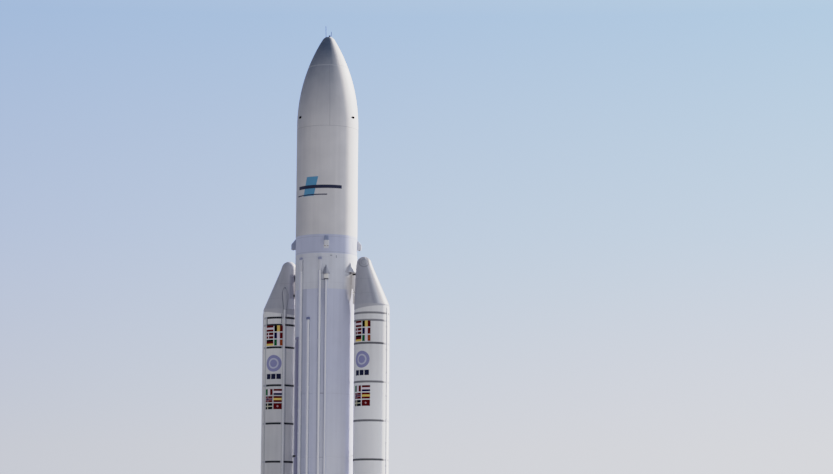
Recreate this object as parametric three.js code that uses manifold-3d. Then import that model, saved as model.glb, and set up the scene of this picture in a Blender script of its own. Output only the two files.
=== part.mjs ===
// A heavy launcher with two strap-on boosters, as a 1:2 scale model, standing on its booster skirts.
// +Z is up, the core stage's axis is the Z axis, and the boosters stand at +X and -X.
// An azimuth is measured in degrees from -Y towards +X.

import * as THREE from 'three';
import { mergeVertices } from 'three/addons/utils/BufferGeometryUtils.js';
import Module from 'manifold-3d';

const wasm = await Module();
wasm.setup();

// Every size below is the full-size launcher's, in metres; mm() gives the model's millimetres.
const SCALE = 1 / 2;
const mm = metres => metres * 1000 * SCALE;
const rad = THREE.MathUtils.degToRad;

// The gap that is left between a piece and what it is fixed to, 0.3 mm on the model.
const SEAT = 0.0006;

// How far a cutting body reaches past the piece that it cuts.
const PAST = 0.5;

// Core stage: radius and the heights where its sections meet.
const core = {
  radius: 2.70, facets: 48, seamDepth: 0.02, seamHeight: 0.05,
  frameBottom: 5.60, tankBottom: 7.20, tankTop: 28.74, skirtTop: 31.86, bayTop: 33.50,
  seams: [14.15, 19.65],
};

// Payload fairing: a cylinder, a tangent ogive of one arc and a round tip, split into two halves.
const fairing = {
  wall: 0.07, ogiveStart: 43.50, arcRadius: 15.20, arcEnd: 31, arcSteps: 8, tipSteps: 3,
  splitAzimuth: 33.5, ringHeight: 0.30, ringDepth: 0.14,
};

// Boosters: axis offset from the core, case radius, and heights.
const booster = {
  offset: 4.57, radius: 1.525, facets: 36, bandHeight: 0.10, bandDepth: 0.015,
  skirtTop: 3.95, coneStart: 27.36, tipCentre: 31.00, tipRadius: 0.65, tipOffset: 0.80,
  bands: [7.28, 10.61, 13.94, 17.27, 20.60, 23.93, 25.91, 26.55],
  skirtBase: 1.70, skirtFlare: 3.0, skirtWall: 0.08, skirtFoot: 0.12, flareStep: 0.02,
};

// Colours, roughness and metalness of the finishes.
const finishes = {
  fairingWhite: [0xd8d9e0, 0.45, 0.0],
  tankLavender: [0xc3c6dc, 0.55, 0.0],
  bandLavender: [0xb9bdd6, 0.50, 0.0],
  skirtWhite: [0xd3d7e0, 0.50, 0.0],
  boosterWhite: [0xd6d7de, 0.50, 0.0],
  ductGrey: [0xc4c6d0, 0.55, 0.0],
  darkFitting: [0x2c2d33, 0.50, 0.6],
  foilWhite: [0xc9c6bf, 0.60, 0.1],
  bareMetal: [0x9a9ca3, 0.35, 0.9],
  nozzleDark: [0x4a4642, 0.45, 0.7],
  carbonBlack: [0x27272b, 0.60, 0.1],
};

const launcher = new THREE.Group();

// Makes a geometry one clean closed body: shared corners merged, slivers dropped, faces out.
function closed(geometry) {
  geometry.deleteAttribute('normal');
  geometry.deleteAttribute('uv');
  const merged = mergeVertices(geometry, 0.001);
  const kept = [];
  const source = merged.index.array;
  for (let i = 0; i < source.length; i += 3) {
    const [a, b, c] = [source[i], source[i + 1], source[i + 2]];
    if (a !== b && b !== c && c !== a) kept.push(a, b, c);
  }
  if (volumeOf(merged.attributes.position, kept) < 0) kept.reverse();
  merged.setIndex(kept);
  return merged;
}

function volumeOf(position, indices) {
  const corner = [new THREE.Vector3(), new THREE.Vector3(), new THREE.Vector3()];
  let volume = 0;
  for (let i = 0; i < indices.length; i += 3) {
    corner.forEach((point, k) => point.fromBufferAttribute(position, indices[i + k]));
    volume += corner[0].dot(corner[1].clone().cross(corner[2])) / 6;
  }
  return volume;
}

function solid(geometry) {
  const clean = closed(geometry.clone());
  return new wasm.Manifold(new wasm.Mesh({
    numProp: 3,
    vertProperties: new Float32Array(clean.attributes.position.array),
    triVerts: new Uint32Array(clean.index.array),
  }));
}

function geometryOf(manifold) {
  const mesh = manifold.getMesh();
  const geometry = new THREE.BufferGeometry();
  geometry.setAttribute('position', new THREE.BufferAttribute(new Float32Array(mesh.vertProperties), 3));
  geometry.setIndex(Array.from(mesh.triVerts));
  return geometry;
}

function join(first, ...others) {
  return geometryOf(others.reduce((whole, other) => whole.add(solid(other)), solid(first)));
}

function cut(first, ...others) {
  return geometryOf(others.reduce((whole, other) => whole.subtract(solid(other)), solid(first)));
}

// A body turned round the Z axis from a profile of [radius, height] pairs.
function turned(profile, facets) {
  const points = profile.map(([radius, height]) => new THREE.Vector2(mm(radius), mm(height)));
  return closed(new THREE.LatheGeometry(points, facets).rotateX(Math.PI / 2));
}

function drum(radius, bottom, top, facets) {
  return turned([[0, bottom], [radius, bottom], [radius, top], [0, top]], facets);
}

// A body through closed sections with equally many [x, y, z] corners, lowest first.
function loft(sections) {
  const count = sections[0].length;
  const indices = [];
  for (let level = 0; level + 1 < sections.length; level++) {
    for (let side = 0; side < count; side++) {
      const here = level * count + side;
      const next = level * count + (side + 1) % count;
      indices.push(here, next, next + count, here, next + count, here + count);
    }
  }
  const top = (sections.length - 1) * count;
  for (let side = 1; side + 1 < count; side++) {
    indices.push(0, side + 1, side, top, top + side, top + side + 1);
  }
  const geometry = new THREE.BufferGeometry();
  const corners = new Float32Array(sections.flat(2).map(mm));
  geometry.setAttribute('position', new THREE.BufferAttribute(corners, 3));
  geometry.setIndex(indices);
  return closed(geometry);
}

function box(centre, size) {
  return closed(new THREE.BoxGeometry(...size.map(mm)).translate(...centre.map(mm)));
}

// A round rod from one point to another.
function rod(from, to, radius, facets = 16) {
  const start = new THREE.Vector3(...from.map(mm));
  const along = new THREE.Vector3(...to.map(mm)).sub(start);
  const geometry = new THREE.CylinderGeometry(mm(radius), mm(radius), along.length(), facets);
  const upright = new THREE.Vector3(0, 1, 0);
  const turn = new THREE.Quaternion().setFromUnitVectors(upright, along.clone().normalize());
  geometry.applyQuaternion(turn).translate(...start.addScaledVector(along, 0.5).toArray());
  return closed(geometry);
}

// A raised duct that follows a wall: levels are [height, width, rise], and wallAt gives the wall's radius
// and the place of its centre along X at a height. The duct's foot starts inside the wall.
function duct(wallAt, azimuth, levels) {
  const [cos, sin] = [Math.cos(rad(azimuth)), Math.sin(rad(azimuth))];
  const footShare = 0.97;
  const shoulderShare = 0.6;
  return loft(levels.map(([height, width, rise]) => {
    const [radius, centre] = wallAt(height);
    const [foot, shoulder, crown] = [radius * footShare, radius + rise * shoulderShare, radius + rise];
    const outline = [[-width / 2, foot], [-width / 2, shoulder], [-width / 4, crown],
      [width / 4, crown], [width / 2, shoulder], [width / 2, foot]];
    return outline.map(([side, out]) => [centre + side * cos + out * sin, side * sin - out * cos, height]);
  }));
}

function add(parent, name, geometry, finish) {
  const [color, roughness, metalness] = finishes[finish];
  const material = new THREE.MeshStandardMaterial({ color, roughness, metalness });
  const mesh = new THREE.Mesh(closed(geometry), material);
  mesh.name = name;
  parent.add(mesh);
}

// Core stage sections. Shallow grooves mark where the tank's rings are welded together.
function seamProfile(radius, bottom, top, seams, depth, height) {
  const profile = [[0, bottom], [radius, bottom]];
  for (const seam of seams) {
    profile.push([radius, seam - height / 2], [radius - depth, seam], [radius, seam + height / 2]);
  }
  profile.push([radius, top], [0, top]);
  return profile;
}

const tankProfile = seamProfile(core.radius, core.tankBottom, core.tankTop, core.seams,
  core.seamDepth, core.seamHeight);
add(launcher, 'main_tank', turned(tankProfile, core.facets), 'tankLavender');

// The forward skirt has a pointed blister beside each booster's upper link.
const blister = { azimuths: [81.4, 261.4], base: 30.29, apex: 31.18, radius: 0.33, facets: 24 };
const blisters = blister.azimuths.map(azimuth => turned(
  [[0, blister.base], [blister.radius, blister.base], [0, blister.apex]], blister.facets,
).translate(mm(core.radius * Math.sin(rad(azimuth))), mm(-core.radius * Math.cos(rad(azimuth))), 0));
const skirtBody = drum(core.radius, core.tankTop, core.skirtTop, core.facets);
add(launcher, 'forward_skirt', join(skirtBody, ...blisters), 'skirtWhite');
add(launcher, 'equipment_bay', drum(core.radius, core.skirtTop, core.bayTop, core.facets), 'bandLavender');

// The wall that pieces on the core are seated against.
const coreWall = drum(core.radius + SEAT, core.frameBottom - PAST, core.bayTop + PAST, core.facets);
const coreWallAt = () => [core.radius, 0];

// Attitude thruster pods on the equipment bay: flat below, sloping above.
const pod = {
  width: 0.50, bottom: 32.45, knee: 32.92, top: 33.36, reach: 0.38, topReach: 0.02, sunk: 0.15,
  azimuths: [29.5, 119.5, 209.5, 299.5],
};
pod.azimuths.forEach((azimuth, index) => {
  const inner = -(core.radius - pod.sunk);
  const section = (height, reach) => [
    [-pod.width / 2, inner, height], [-pod.width / 2, -(core.radius + reach), height],
    [pod.width / 2, -(core.radius + reach), height], [pod.width / 2, inner, height],
  ];
  const wedge = loft([
    section(pod.bottom, pod.reach), section(pod.knee, pod.reach), section(pod.top, pod.topReach)]);
  add(launcher, `thruster_pod_${index + 1}`, cut(wedge.rotateZ(rad(azimuth)), coreWall), 'skirtWhite');
});

// Payload adapter inside the fairing: a cone with a flat ring on top.
const adapter = {
  foot: 2.30, footHeight: 0.15, neck: 1.35, ring: 1.45, neckHeight: 35.40, ringHeight: 35.60,
};
add(launcher, 'payload_adapter', turned([
  [0, core.bayTop], [adapter.foot, core.bayTop], [adapter.foot, core.bayTop + adapter.footHeight],
  [adapter.neck, adapter.neckHeight], [adapter.ring, adapter.neckHeight],
  [adapter.ring, adapter.ringHeight], [0, adapter.ringHeight],
], core.facets), 'bareMetal');

// Cable and gas ducts down the core: azimuth, top, width and rise, and the length of the tapered top.
// Each starts at the same height, with a short taper, and both its ends are half as wide and nearly flush.
const ductFoot = { height: 7.0, taper: 0.3, widthShare: 0.5, riseShare: 0.15 };
const coreDucts = [
  { azimuth: -34.0, top: 24.54, width: 0.45, rise: 0.14, taper: 0.50 },
  { azimuth: -23.5, top: 31.45, width: 0.22, rise: 0.16, taper: 0.20 },
  { azimuth: -4.1, top: 26.19, width: 0.22, rise: 0.17, taper: 0.20 },
  { azimuth: 17.9, top: 31.39, width: 0.22, rise: 0.16, taper: 0.20 },
];
coreDucts.forEach(({ azimuth, top, width, rise, taper }, index) => {
  const end = [width * ductFoot.widthShare, rise * ductFoot.riseShare];
  const levels = [[ductFoot.height, ...end], [ductFoot.height + ductFoot.taper, width, rise],
    [top - taper, width, rise], [top, ...end]];
  add(launcher, `core_duct_${index + 1}`, cut(duct(coreWallAt, azimuth, levels), coreWall), 'ductGrey');
});

// The vent line, with the box and the pointed fairing over its upper end: each is a [width, rise].
const ventLine = {
  azimuth: 29.7, foot: [0.10, 0.03], line: [0.22, 0.14], box: [0.38, 0.24], hood: [0.50, 0.32],
  tip: [0.05, 0.02], boxHeight: 29.63, hoodHeight: 29.98, top: 30.80, step: 0.04,
};
add(launcher, 'vent_line', cut(duct(coreWallAt, ventLine.azimuth, [
  [ductFoot.height, ...ventLine.foot], [ductFoot.height + ductFoot.taper, ...ventLine.line],
  [ventLine.boxHeight - ventLine.step, ...ventLine.line], [ventLine.boxHeight, ...ventLine.box],
  [ventLine.hoodHeight, ...ventLine.box], [ventLine.hoodHeight + ventLine.step, ...ventLine.hood],
  [ventLine.top, ...ventLine.tip],
]), coreWall), 'ductGrey');

// Base of the core: thrust frame with the engine's gimbal lugs, and the heat shield round the engine.
const engine = {
  pivot: 4.75, pinRadius: 0.035, ringInner: 0.26, ringOuter: 0.34, ringHalf: 0.05, lug: 0.06, lugHalf: 0.06,
  play: 0.03,
};
const frame = { shoulder: 6.30, waist: 2.55, coneFoot: 1.70, cone: 0.55, coneTip: 4.98 };

// Lug roots reach this far into the body that carries them, and a pin's end stands this far past its lug.
const LUG_ROOT = 0.05;
const PIN_END = 0.02;
const PIN_FACETS = 16;

// Two upright lugs with cross bores at the pivot, for a gimbal ring's pins. Along is 'x' or 'y'.
function lugPair(gimbal, along, from, to, inner) {
  const reach = inner + gimbal.lug / 2;
  const lugs = [];
  for (const side of [-1, 1]) {
    const place = along === 'x' ? [side * reach, 0] : [0, side * reach];
    const size = along === 'x' ? [gimbal.lug, gimbal.lugHalf * 2] : [gimbal.lugHalf * 2, gimbal.lug];
    lugs.push(box([...place, (from + to) / 2], [...size, Math.abs(to - from)]));
  }
  return lugs;
}

// The bore for a pair of pins. Its flats lie outside the pin's corners, so that the pin can turn.
function pinBore(gimbal, along) {
  const end = gimbal.ringOuter + PAST;
  const from = along === 'x' ? [-end, 0, gimbal.pivot] : [0, -end, gimbal.pivot];
  const to = along === 'x' ? [end, 0, gimbal.pivot] : [0, end, gimbal.pivot];
  return rod(from, to, (gimbal.pinRadius + SEAT) / Math.cos(Math.PI / PIN_FACETS), PIN_FACETS);
}

// A gimbal ring: pins along X turn in the fixed lugs, and pins along Y carry the moving lugs.
function gimbalRing(gimbal) {
  const { ringInner, ringOuter, ringHalf, pivot, pinRadius, lug } = gimbal;
  const ring = turned([[ringInner, pivot - ringHalf], [ringOuter, pivot - ringHalf],
    [ringOuter, pivot + ringHalf], [ringInner, pivot + ringHalf], [ringInner, pivot - ringHalf]], 24);
  const middle = (ringInner + ringOuter) / 2;
  const outerEnd = ringOuter + gimbal.play + lug + PIN_END;
  const innerEnd = ringInner - gimbal.play - lug - PIN_END;
  const pins = [1, -1].flatMap(side => [
    rod([side * middle, 0, pivot], [side * outerEnd, 0, pivot], pinRadius, PIN_FACETS),
    rod([0, side * innerEnd, pivot], [0, side * middle, pivot], pinRadius, PIN_FACETS),
  ]);
  return join(ring, ...pins);
}

const frameBody = turned([
  [0, frame.coneTip], [frame.cone, frame.coneTip], [frame.coneFoot, core.frameBottom],
  [frame.waist, core.frameBottom], [core.radius, frame.shoulder], [core.radius, core.tankBottom],
  [0, core.tankBottom],
], core.facets);
const frameLugs = lugPair(engine, 'x', engine.pivot - engine.lugHalf, frame.coneTip + LUG_ROOT,
  engine.ringOuter + engine.play);
add(launcher, 'thrust_frame', cut(join(frameBody, ...frameLugs), pinBore(engine, 'x')), 'foilWhite');

const shield = { rim: 2.50, hole: 1.30, bottom: 4.40, wall: 0.06, seat: 0.20, edge: 0.10 };
const shieldEdge = core.frameBottom - shield.edge;
add(launcher, 'base_heat_shield', turned([
  [shield.rim - shield.seat, core.frameBottom], [shield.rim, core.frameBottom],
  [shield.rim, shieldEdge], [shield.hole, shield.bottom],
  [shield.hole, shield.bottom + shield.wall], [shield.rim - shield.seat, shieldEdge + shield.wall],
  [shield.rim - shield.seat, core.frameBottom],
], core.facets), 'foilWhite');

add(launcher, 'engine_gimbal_ring', gimbalRing(engine), 'bareMetal');

// Main engine: injector head with its gimbal lugs, chamber and two turbopumps, and the bell nozzle.
const chamber = {
  head: 4.50, headRadius: 0.42, shoulder: 4.11, neck: 3.82, throat: 3.66, throatRadius: 0.24,
  flangeRadius: 0.34, flange: 0.08,
};
const pump = { radius: 0.24, reach: 0.60, bottom: 3.70, top: 4.38, pipeHeight: 4.10, pipeRadius: 0.11 };
const bell = { exit: 1.30, exitRadius: 1.05, wall: 0.045, crown: 0.06 };
const chamberBody = turned([
  [0, chamber.throat], [chamber.flangeRadius, chamber.throat],
  [chamber.flangeRadius, chamber.throat + chamber.flange], [chamber.throatRadius, chamber.neck],
  [chamber.headRadius, chamber.shoulder], [chamber.headRadius, chamber.head], [0, chamber.head],
], 32);
const engineLugs = lugPair(engine, 'y', chamber.head - LUG_ROOT, engine.pivot + engine.lugHalf,
  engine.ringInner - engine.play - engine.lug);
const pumps = [1, -1].flatMap(side => [
  rod([side * pump.reach, 0, pump.bottom], [side * pump.reach, 0, pump.top], pump.radius, 20),
  rod([0, 0, pump.pipeHeight], [side * pump.reach, 0, pump.pipeHeight], pump.pipeRadius, 12),
]);
const chamberWhole = cut(join(chamberBody, ...engineLugs, ...pumps), pinBore(engine, 'y'));
add(launcher, 'engine_chamber', chamberWhole, 'bareMetal');

// A bell whose radius grows with the square root of the depth below its neck, open at the bottom.
// Its steps are closer together near the neck, where it curves most.
function bellProfile(neckHeight, neckRadius, exitHeight, exitRadius, wall, crown) {
  const steps = 5;
  const crowding = 1.4;
  const outer = [];
  const inner = [];
  for (let step = 0; step <= steps; step++) {
    const share = (step / steps) ** crowding;
    const height = neckHeight + (exitHeight - neckHeight) * share;
    const radius = neckRadius + (exitRadius - neckRadius) * Math.sqrt(share);
    outer.push([radius, height]);
    inner.push([radius - wall, step === 0 ? height - crown : height]);
  }
  return [[0, neckHeight], ...outer, ...inner.reverse(), [0, neckHeight - crown]];
}
const mainBell = bellProfile(chamber.throat - SEAT, chamber.flangeRadius, bell.exit, bell.exitRadius,
  bell.wall, bell.crown);
add(launcher, 'main_nozzle', turned(mainBell, 36), 'nozzleDark');

// Payload fairing halves: a hollow shell, cut in two by a thin upright plane.
function fairingProfile(offset) {
  const radius = core.radius - offset;
  const arc = fairing.arcRadius - offset;
  const points = [];
  for (let step = 0; step <= fairing.arcSteps; step++) {
    const angle = rad(fairing.arcEnd * step / fairing.arcSteps);
    points.push([radius - arc * (1 - Math.cos(angle)), fairing.ogiveStart + arc * Math.sin(angle)]);
  }
  const endAngle = rad(fairing.arcEnd);
  const endRadius = core.radius - fairing.arcRadius * (1 - Math.cos(endAngle));
  const tip = endRadius / Math.cos(endAngle) - offset;
  const arcTop = fairing.ogiveStart + fairing.arcRadius * Math.sin(endAngle);
  const tipCentre = arcTop - endRadius * Math.tan(endAngle);
  for (let step = 1; step <= fairing.tipSteps; step++) {
    const angle = endAngle + (Math.PI / 2 - endAngle) * step / fairing.tipSteps;
    points.push([step === fairing.tipSteps ? 0 : tip * Math.cos(angle), tipCentre + tip * Math.sin(angle)]);
  }
  return points;
}
const shellBase = core.bayTop + SEAT;
const innerRing = core.radius - fairing.ringDepth;
const shell = turned([
  [innerRing, shellBase], [core.radius, shellBase], ...fairingProfile(0),
  ...fairingProfile(fairing.wall).reverse(),
  [core.radius - fairing.wall, shellBase + fairing.ringHeight], [innerRing, shellBase + fairing.ringHeight],
  [innerRing, shellBase],
], core.facets);
const fairingTop = fairingProfile(0).at(-1)[1];

// The far half is centred 90 degrees past the split's azimuth, and the near half opposite.
const outward = [Math.cos(rad(fairing.splitAzimuth)), Math.sin(rad(fairing.splitAzimuth))];
const halves = [{ name: 'fairing_half_far', side: 1 }, { name: 'fairing_half_near', side: -1 }];
for (const { name, side } of halves) {
  const depth = core.radius + PAST;
  const height = fairingTop - core.bayTop + 2 * PAST;
  const remove = new THREE.BoxGeometry(mm(depth), mm(2 * depth), mm(height));
  remove.translate(mm(-side * (depth - SEAT) / 2), 0, mm((fairingTop + core.bayTop) / 2));
  remove.rotateZ(rad(fairing.splitAzimuth));
  add(launcher, name, cut(shell, remove), 'fairingWhite');
}

// Lightning finials on the tip: a knob with a short rod on the far half, and a long rod on the near half.
// Reaches are measured from the tip's axis along the far half's outward direction, and rises from the tip.
const finial = {
  knobReach: 0.10, knobRadius: 0.07, stemRadius: 0.035, knobFoot: 0.02, knobTop: 0.14,
  armFoot: 0.06, armEnd: 0.10, shortReach: 0.25, shortFoot: 0.07, shortTop: 0.47,
  longReach: 0.21, longLean: 0.03, longTop: 0.97, rodRadius: 0.022, sunk: 0.13, cutterBase: 50,
};
function onTip(reach, rise) {
  return [outward[0] * reach, outward[1] * reach, fairingTop + rise];
}
const { knobReach, shortReach, longReach, rodRadius } = finial;
const farFinial = join(
  rod(onTip(knobReach, -finial.sunk), onTip(knobReach, finial.knobTop), finial.stemRadius, 12),
  rod(onTip(knobReach, finial.knobFoot), onTip(knobReach, finial.knobTop), finial.knobRadius, 12),
  rod(onTip(knobReach, finial.armFoot), onTip(shortReach, finial.armEnd), rodRadius, 8),
  rod(onTip(shortReach, finial.shortFoot), onTip(shortReach, finial.shortTop), rodRadius, 8),
);
const nearFinial = rod(onTip(-longReach, -finial.sunk), onTip(-longReach - finial.longLean, finial.longTop),
  rodRadius, 8);
const tipCutter = turned([[0, finial.cutterBase], [core.radius + SEAT, finial.cutterBase],
  ...fairingProfile(-SEAT).slice(-fairing.tipSteps - 2)], core.facets);
add(launcher, 'finial_far', cut(farFinial, tipCutter), 'darkFitting');
add(launcher, 'finial_near', cut(nearFinial, tipCutter), 'darkFitting');

// One booster, modelled at +X with the core on its -X side; the second is turned half round the core.
const nozzle = {
  pivot: 3.20, pinRadius: 0.06, ringInner: 0.60, ringOuter: 0.70, ringHalf: 0.08, lug: 0.10, lugHalf: 0.10,
  play: 0.04, neck: 3.00, neckRadius: 0.50, exit: 0.32, exitRadius: 1.15, wall: 0.06, crown: 0.12,
};
const ledge = { inner: 1.40, mid: 1.15, midHeight: 3.62, flat: 3.46, flatRadius: 0.95 };

// The wall that pieces on a booster's case are seated against, in the booster's own frame.
const caseWall = drum(booster.radius + SEAT, 0, booster.coneStart + SEAT, booster.facets);

// The cone's profile: a straight wall, then a round tip that it meets smoothly.
function coneSections(extra) {
  const lean = Math.atan2(booster.radius - booster.tipRadius, booster.tipCentre - booster.coneStart);
  const sections = [[booster.radius + extra, booster.coneStart]];
  const tipSteps = 4;
  for (let step = 0; step < tipSteps; step++) {
    const angle = lean + (Math.PI / 2 - lean) * step / tipSteps;
    sections.push([(booster.tipRadius + extra) * Math.cos(angle),
      booster.tipCentre + (booster.tipRadius + extra) * Math.sin(angle)]);
  }
  sections.push([0, booster.tipCentre + booster.tipRadius + extra]);
  return sections;
}

// The booster's wall at a height: straight up to the cone, then narrower and moved towards the core.
function boosterWallAt(height) {
  const [[foot, footHeight], [top, topHeight]] = coneSections(0);
  const share = Math.max(0, (height - footHeight) / (topHeight - footHeight));
  return [foot + (top - foot) * share, -booster.tipOffset * share];
}

// The cone leans towards the core, so each section of a straight cone is shifted along -X.
function leaningCone(extra) {
  const geometry = turned([[0, booster.coneStart], ...coneSections(extra)], booster.facets);
  const position = geometry.attributes.position;
  const run = mm(booster.tipCentre - booster.coneStart);
  for (let i = 0; i < position.count; i++) {
    const share = Math.min(1, Math.max(0, (position.getZ(i) - mm(booster.coneStart)) / run));
    position.setX(i, position.getX(i) - mm(booster.tipOffset) * share);
  }
  return geometry;
}

const coneWall = leaningCone(SEAT);

function caseProfile() {
  const profile = [[0, ledge.flat], [ledge.flatRadius, ledge.flat], [ledge.mid, ledge.midHeight],
    [ledge.inner, booster.skirtTop], [booster.radius, booster.skirtTop]];
  for (const band of booster.bands) {
    profile.push([booster.radius, band - booster.bandHeight / 2], [booster.radius - booster.bandDepth, band],
      [booster.radius, band + booster.bandHeight / 2]);
  }
  profile.push([booster.radius, booster.coneStart], [0, booster.coneStart]);
  return profile;
}

// Ducts on a booster. The angle is from the side that faces away from the core, seen from above, and each
// level is a [height, width, rise]. The inner duct ends in a wide arched hood that runs up the cone.
const boosterDucts = [
  { name: 'outer_duct', angle: 0.5, levels: [
    [4.2, 0.16, 0.02], [4.4, 0.24, 0.06], [26.9, 0.24, 0.06], [27.2, 0.16, 0.02]] },
  { name: 'inner_duct', angle: 134.9, levels: [
    [4.2, 0.16, 0.03], [4.4, 0.27, 0.11], [26.4, 0.27, 0.11], [26.6, 0.50, 0.13],
    [booster.coneStart, 0.50, 0.13], [28.2, 0.50, 0.13], [28.8, 0.32, 0.12], [29.2, 0.04, 0.03]] },
  { name: 'side_duct', angle: 45.5, levels: [
    [4.2, 0.16, 0.02], [4.4, 0.30, 0.08], [26.9, 0.30, 0.08], [27.2, 0.16, 0.02]] },
];

// Round links between the core and a booster, and the struts at its foot, whose places on the core and the
// booster are angles from the line between their axes.
const link = { radius: 0.09, sunk: 0.2, end: 3.60, heights: { upper: 30.16, middle: 28.56, lower: 14.37 } };
const strut = {
  core: [-30, 0, 30], booster: [-34, 0, 34], coreHeight: 6.75, boosterHeight: 5.60, radius: 0.09, sunk: 0.05,
  plateHalf: 0.25, plateInner: 0.1, plateOuter: 0.06, plateSpread: 33,
};

function addBooster(number) {
  const group = new THREE.Group();
  group.rotation.z = number === 1 ? 0 : Math.PI;
  launcher.add(group);
  const named = piece => `booster_${number}_${piece}`;
  const place = geometry => geometry.translate(mm(booster.offset), 0, 0);

  add(group, named('nose_cone'), place(leaningCone(0)), 'boosterWhite');

  const caseBody = turned(caseProfile(), booster.facets);
  const caseLugs = lugPair(nozzle, 'x', nozzle.pivot - nozzle.lugHalf, ledge.flat + LUG_ROOT,
    nozzle.ringOuter + nozzle.play);
  const caseWhole = cut(join(caseBody, ...caseLugs), pinBore(nozzle, 'x'));
  add(group, named('motor_case'), place(caseWhole), 'boosterWhite');

  const { skirtBase, skirtFlare, skirtTop, skirtWall, skirtFoot, radius } = booster;
  const flareRadius = radius + booster.flareStep;
  add(group, named('aft_skirt'), place(turned([
    [skirtBase - skirtWall - skirtFoot / 2, 0], [skirtBase, 0], [skirtBase, skirtFoot],
    [flareRadius, skirtFlare], [radius, skirtTop], [radius - skirtWall, skirtTop],
    [radius - skirtWall, skirtFlare], [skirtBase - skirtWall, skirtFoot],
    [skirtBase - skirtWall - skirtFoot / 2, 0],
  ], booster.facets)), 'boosterWhite');

  const skirtCutter = turned([
    [0, -PAST], [skirtBase + SEAT, -PAST], [skirtBase + SEAT, skirtFoot + SEAT],
    [flareRadius + SEAT, skirtFlare], [radius + SEAT, skirtTop], [0, skirtTop],
  ], booster.facets);
  for (const { name, angle, levels } of boosterDucts) {
    const body = duct(boosterWallAt, angle + 90, levels);
    add(group, named(name), place(cut(body, caseWall, coneWall, skirtCutter)), 'ductGrey');
  }

  add(group, named('gimbal_ring'), place(gimbalRing(nozzle)), 'bareMetal');

  const boosterBell = bellProfile(nozzle.neck, nozzle.neckRadius, nozzle.exit, nozzle.exitRadius,
    nozzle.wall, nozzle.crown);
  const bellBody = turned(boosterBell, 36);
  const bellLugs = lugPair(nozzle, 'y', nozzle.neck - LUG_ROOT, nozzle.pivot + nozzle.lugHalf,
    nozzle.ringInner - nozzle.play - nozzle.lug);
  add(group, named('nozzle'), place(cut(join(bellBody, ...bellLugs), pinBore(nozzle, 'y'))), 'carbonBlack');

  const walls = [coreWall, place(caseWall.clone()), place(coneWall.clone())];
  for (const [name, height] of Object.entries(link.heights)) {
    const body = rod([core.radius - link.sunk, 0, height], [link.end, 0, height], link.radius, 12);
    add(group, named(`${name}_link`), cut(body, ...walls), 'darkFitting');
  }

  const [plateIn, plateOut] = [core.radius - strut.plateInner, core.radius + strut.plateOuter];
  const [plateLow, plateHigh] = [strut.coreHeight - strut.plateHalf, strut.coreHeight + strut.plateHalf];
  const plateRing = turned([[plateIn, plateLow], [plateOut, plateLow], [plateOut, plateHigh],
    [plateIn, plateHigh], [plateIn, plateLow]], core.facets);
  const spread = booster.offset * Math.tan(rad(strut.plateSpread));
  const wedge = loft([plateLow - PAST, plateHigh + PAST].map(height => [
    [0, 0, height], [booster.offset, -spread, height], [booster.offset, spread, height]]));
  const plate = geometryOf(solid(plateRing).intersect(solid(wedge)));
  const rods = strut.core.map((angle, index) => {
    const near = core.radius - strut.sunk;
    const far = booster.radius - strut.sunk;
    const away = rad(strut.booster[index]);
    return rod([near * Math.cos(rad(angle)), near * Math.sin(rad(angle)), strut.coreHeight],
      [booster.offset - far * Math.cos(away), far * Math.sin(away), strut.boosterHeight], strut.radius, 12);
  });
  add(group, named('rear_struts'), cut(join(plate, ...rods), ...walls), 'darkFitting');
}
addBooster(1);
addBooster(2);

export default launcher;
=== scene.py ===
import math

import bmesh
import bpy
import numpy as np
from mathutils import Matrix, Vector


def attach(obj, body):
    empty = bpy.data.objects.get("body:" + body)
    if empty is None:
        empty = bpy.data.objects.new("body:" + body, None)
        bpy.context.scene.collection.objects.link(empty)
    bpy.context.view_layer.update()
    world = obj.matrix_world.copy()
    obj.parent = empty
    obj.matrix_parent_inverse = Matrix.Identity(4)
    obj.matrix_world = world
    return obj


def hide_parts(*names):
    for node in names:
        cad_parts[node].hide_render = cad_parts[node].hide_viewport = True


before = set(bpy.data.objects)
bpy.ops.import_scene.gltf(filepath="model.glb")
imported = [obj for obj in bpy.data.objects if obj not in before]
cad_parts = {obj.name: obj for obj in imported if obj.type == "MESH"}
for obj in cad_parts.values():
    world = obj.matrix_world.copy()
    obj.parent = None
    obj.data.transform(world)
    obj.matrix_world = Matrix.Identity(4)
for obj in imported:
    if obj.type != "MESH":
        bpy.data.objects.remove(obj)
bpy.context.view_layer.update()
scene = bpy.context.scene

# Camera. The photograph was taken from the ground, about 215 m from the full-size launcher, with a long lens
# that looks up a little. The launcher stands left of the picture's middle, and the camera is rolled a hair.
M = 0.5  # model metres for one metre of the full-size launcher
VIEW_AZIMUTH, VIEW_DISTANCE, EYE_HEIGHT = 29.5, 215.0, 1.7
PAN_RIGHT, LOOK_UP, ROLL = 2.110, 8.463, 0.28
LENS, SENSOR, FAR_CLIP = 106.78, 36.0, 3000


def level(azimuth):
    """The level direction at an azimuth: 0 is the front, -Y, and 90 is +X."""
    turned = math.radians(azimuth)
    return np.array([math.sin(turned), -math.cos(turned), 0.0])


camera_data = bpy.data.cameras.new("camera")
camera_data.lens, camera_data.sensor_width, camera_data.clip_end = LENS, SENSOR, FAR_CLIP
camera = bpy.data.objects.new("camera", camera_data)
camera.matrix_world = (
    Matrix.Translation((level(VIEW_AZIMUTH) * VIEW_DISTANCE + (0, 0, EYE_HEIGHT)) * M)
    @ Matrix.Rotation(math.radians(VIEW_AZIMUTH - PAN_RIGHT), 4, "Z")
    @ Matrix.Rotation(math.radians(90 + LOOK_UP), 4, "X")
    @ Matrix.Rotation(math.radians(ROLL), 4, "Z")
)
scene.collection.objects.link(camera)
scene.camera = camera


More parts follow.
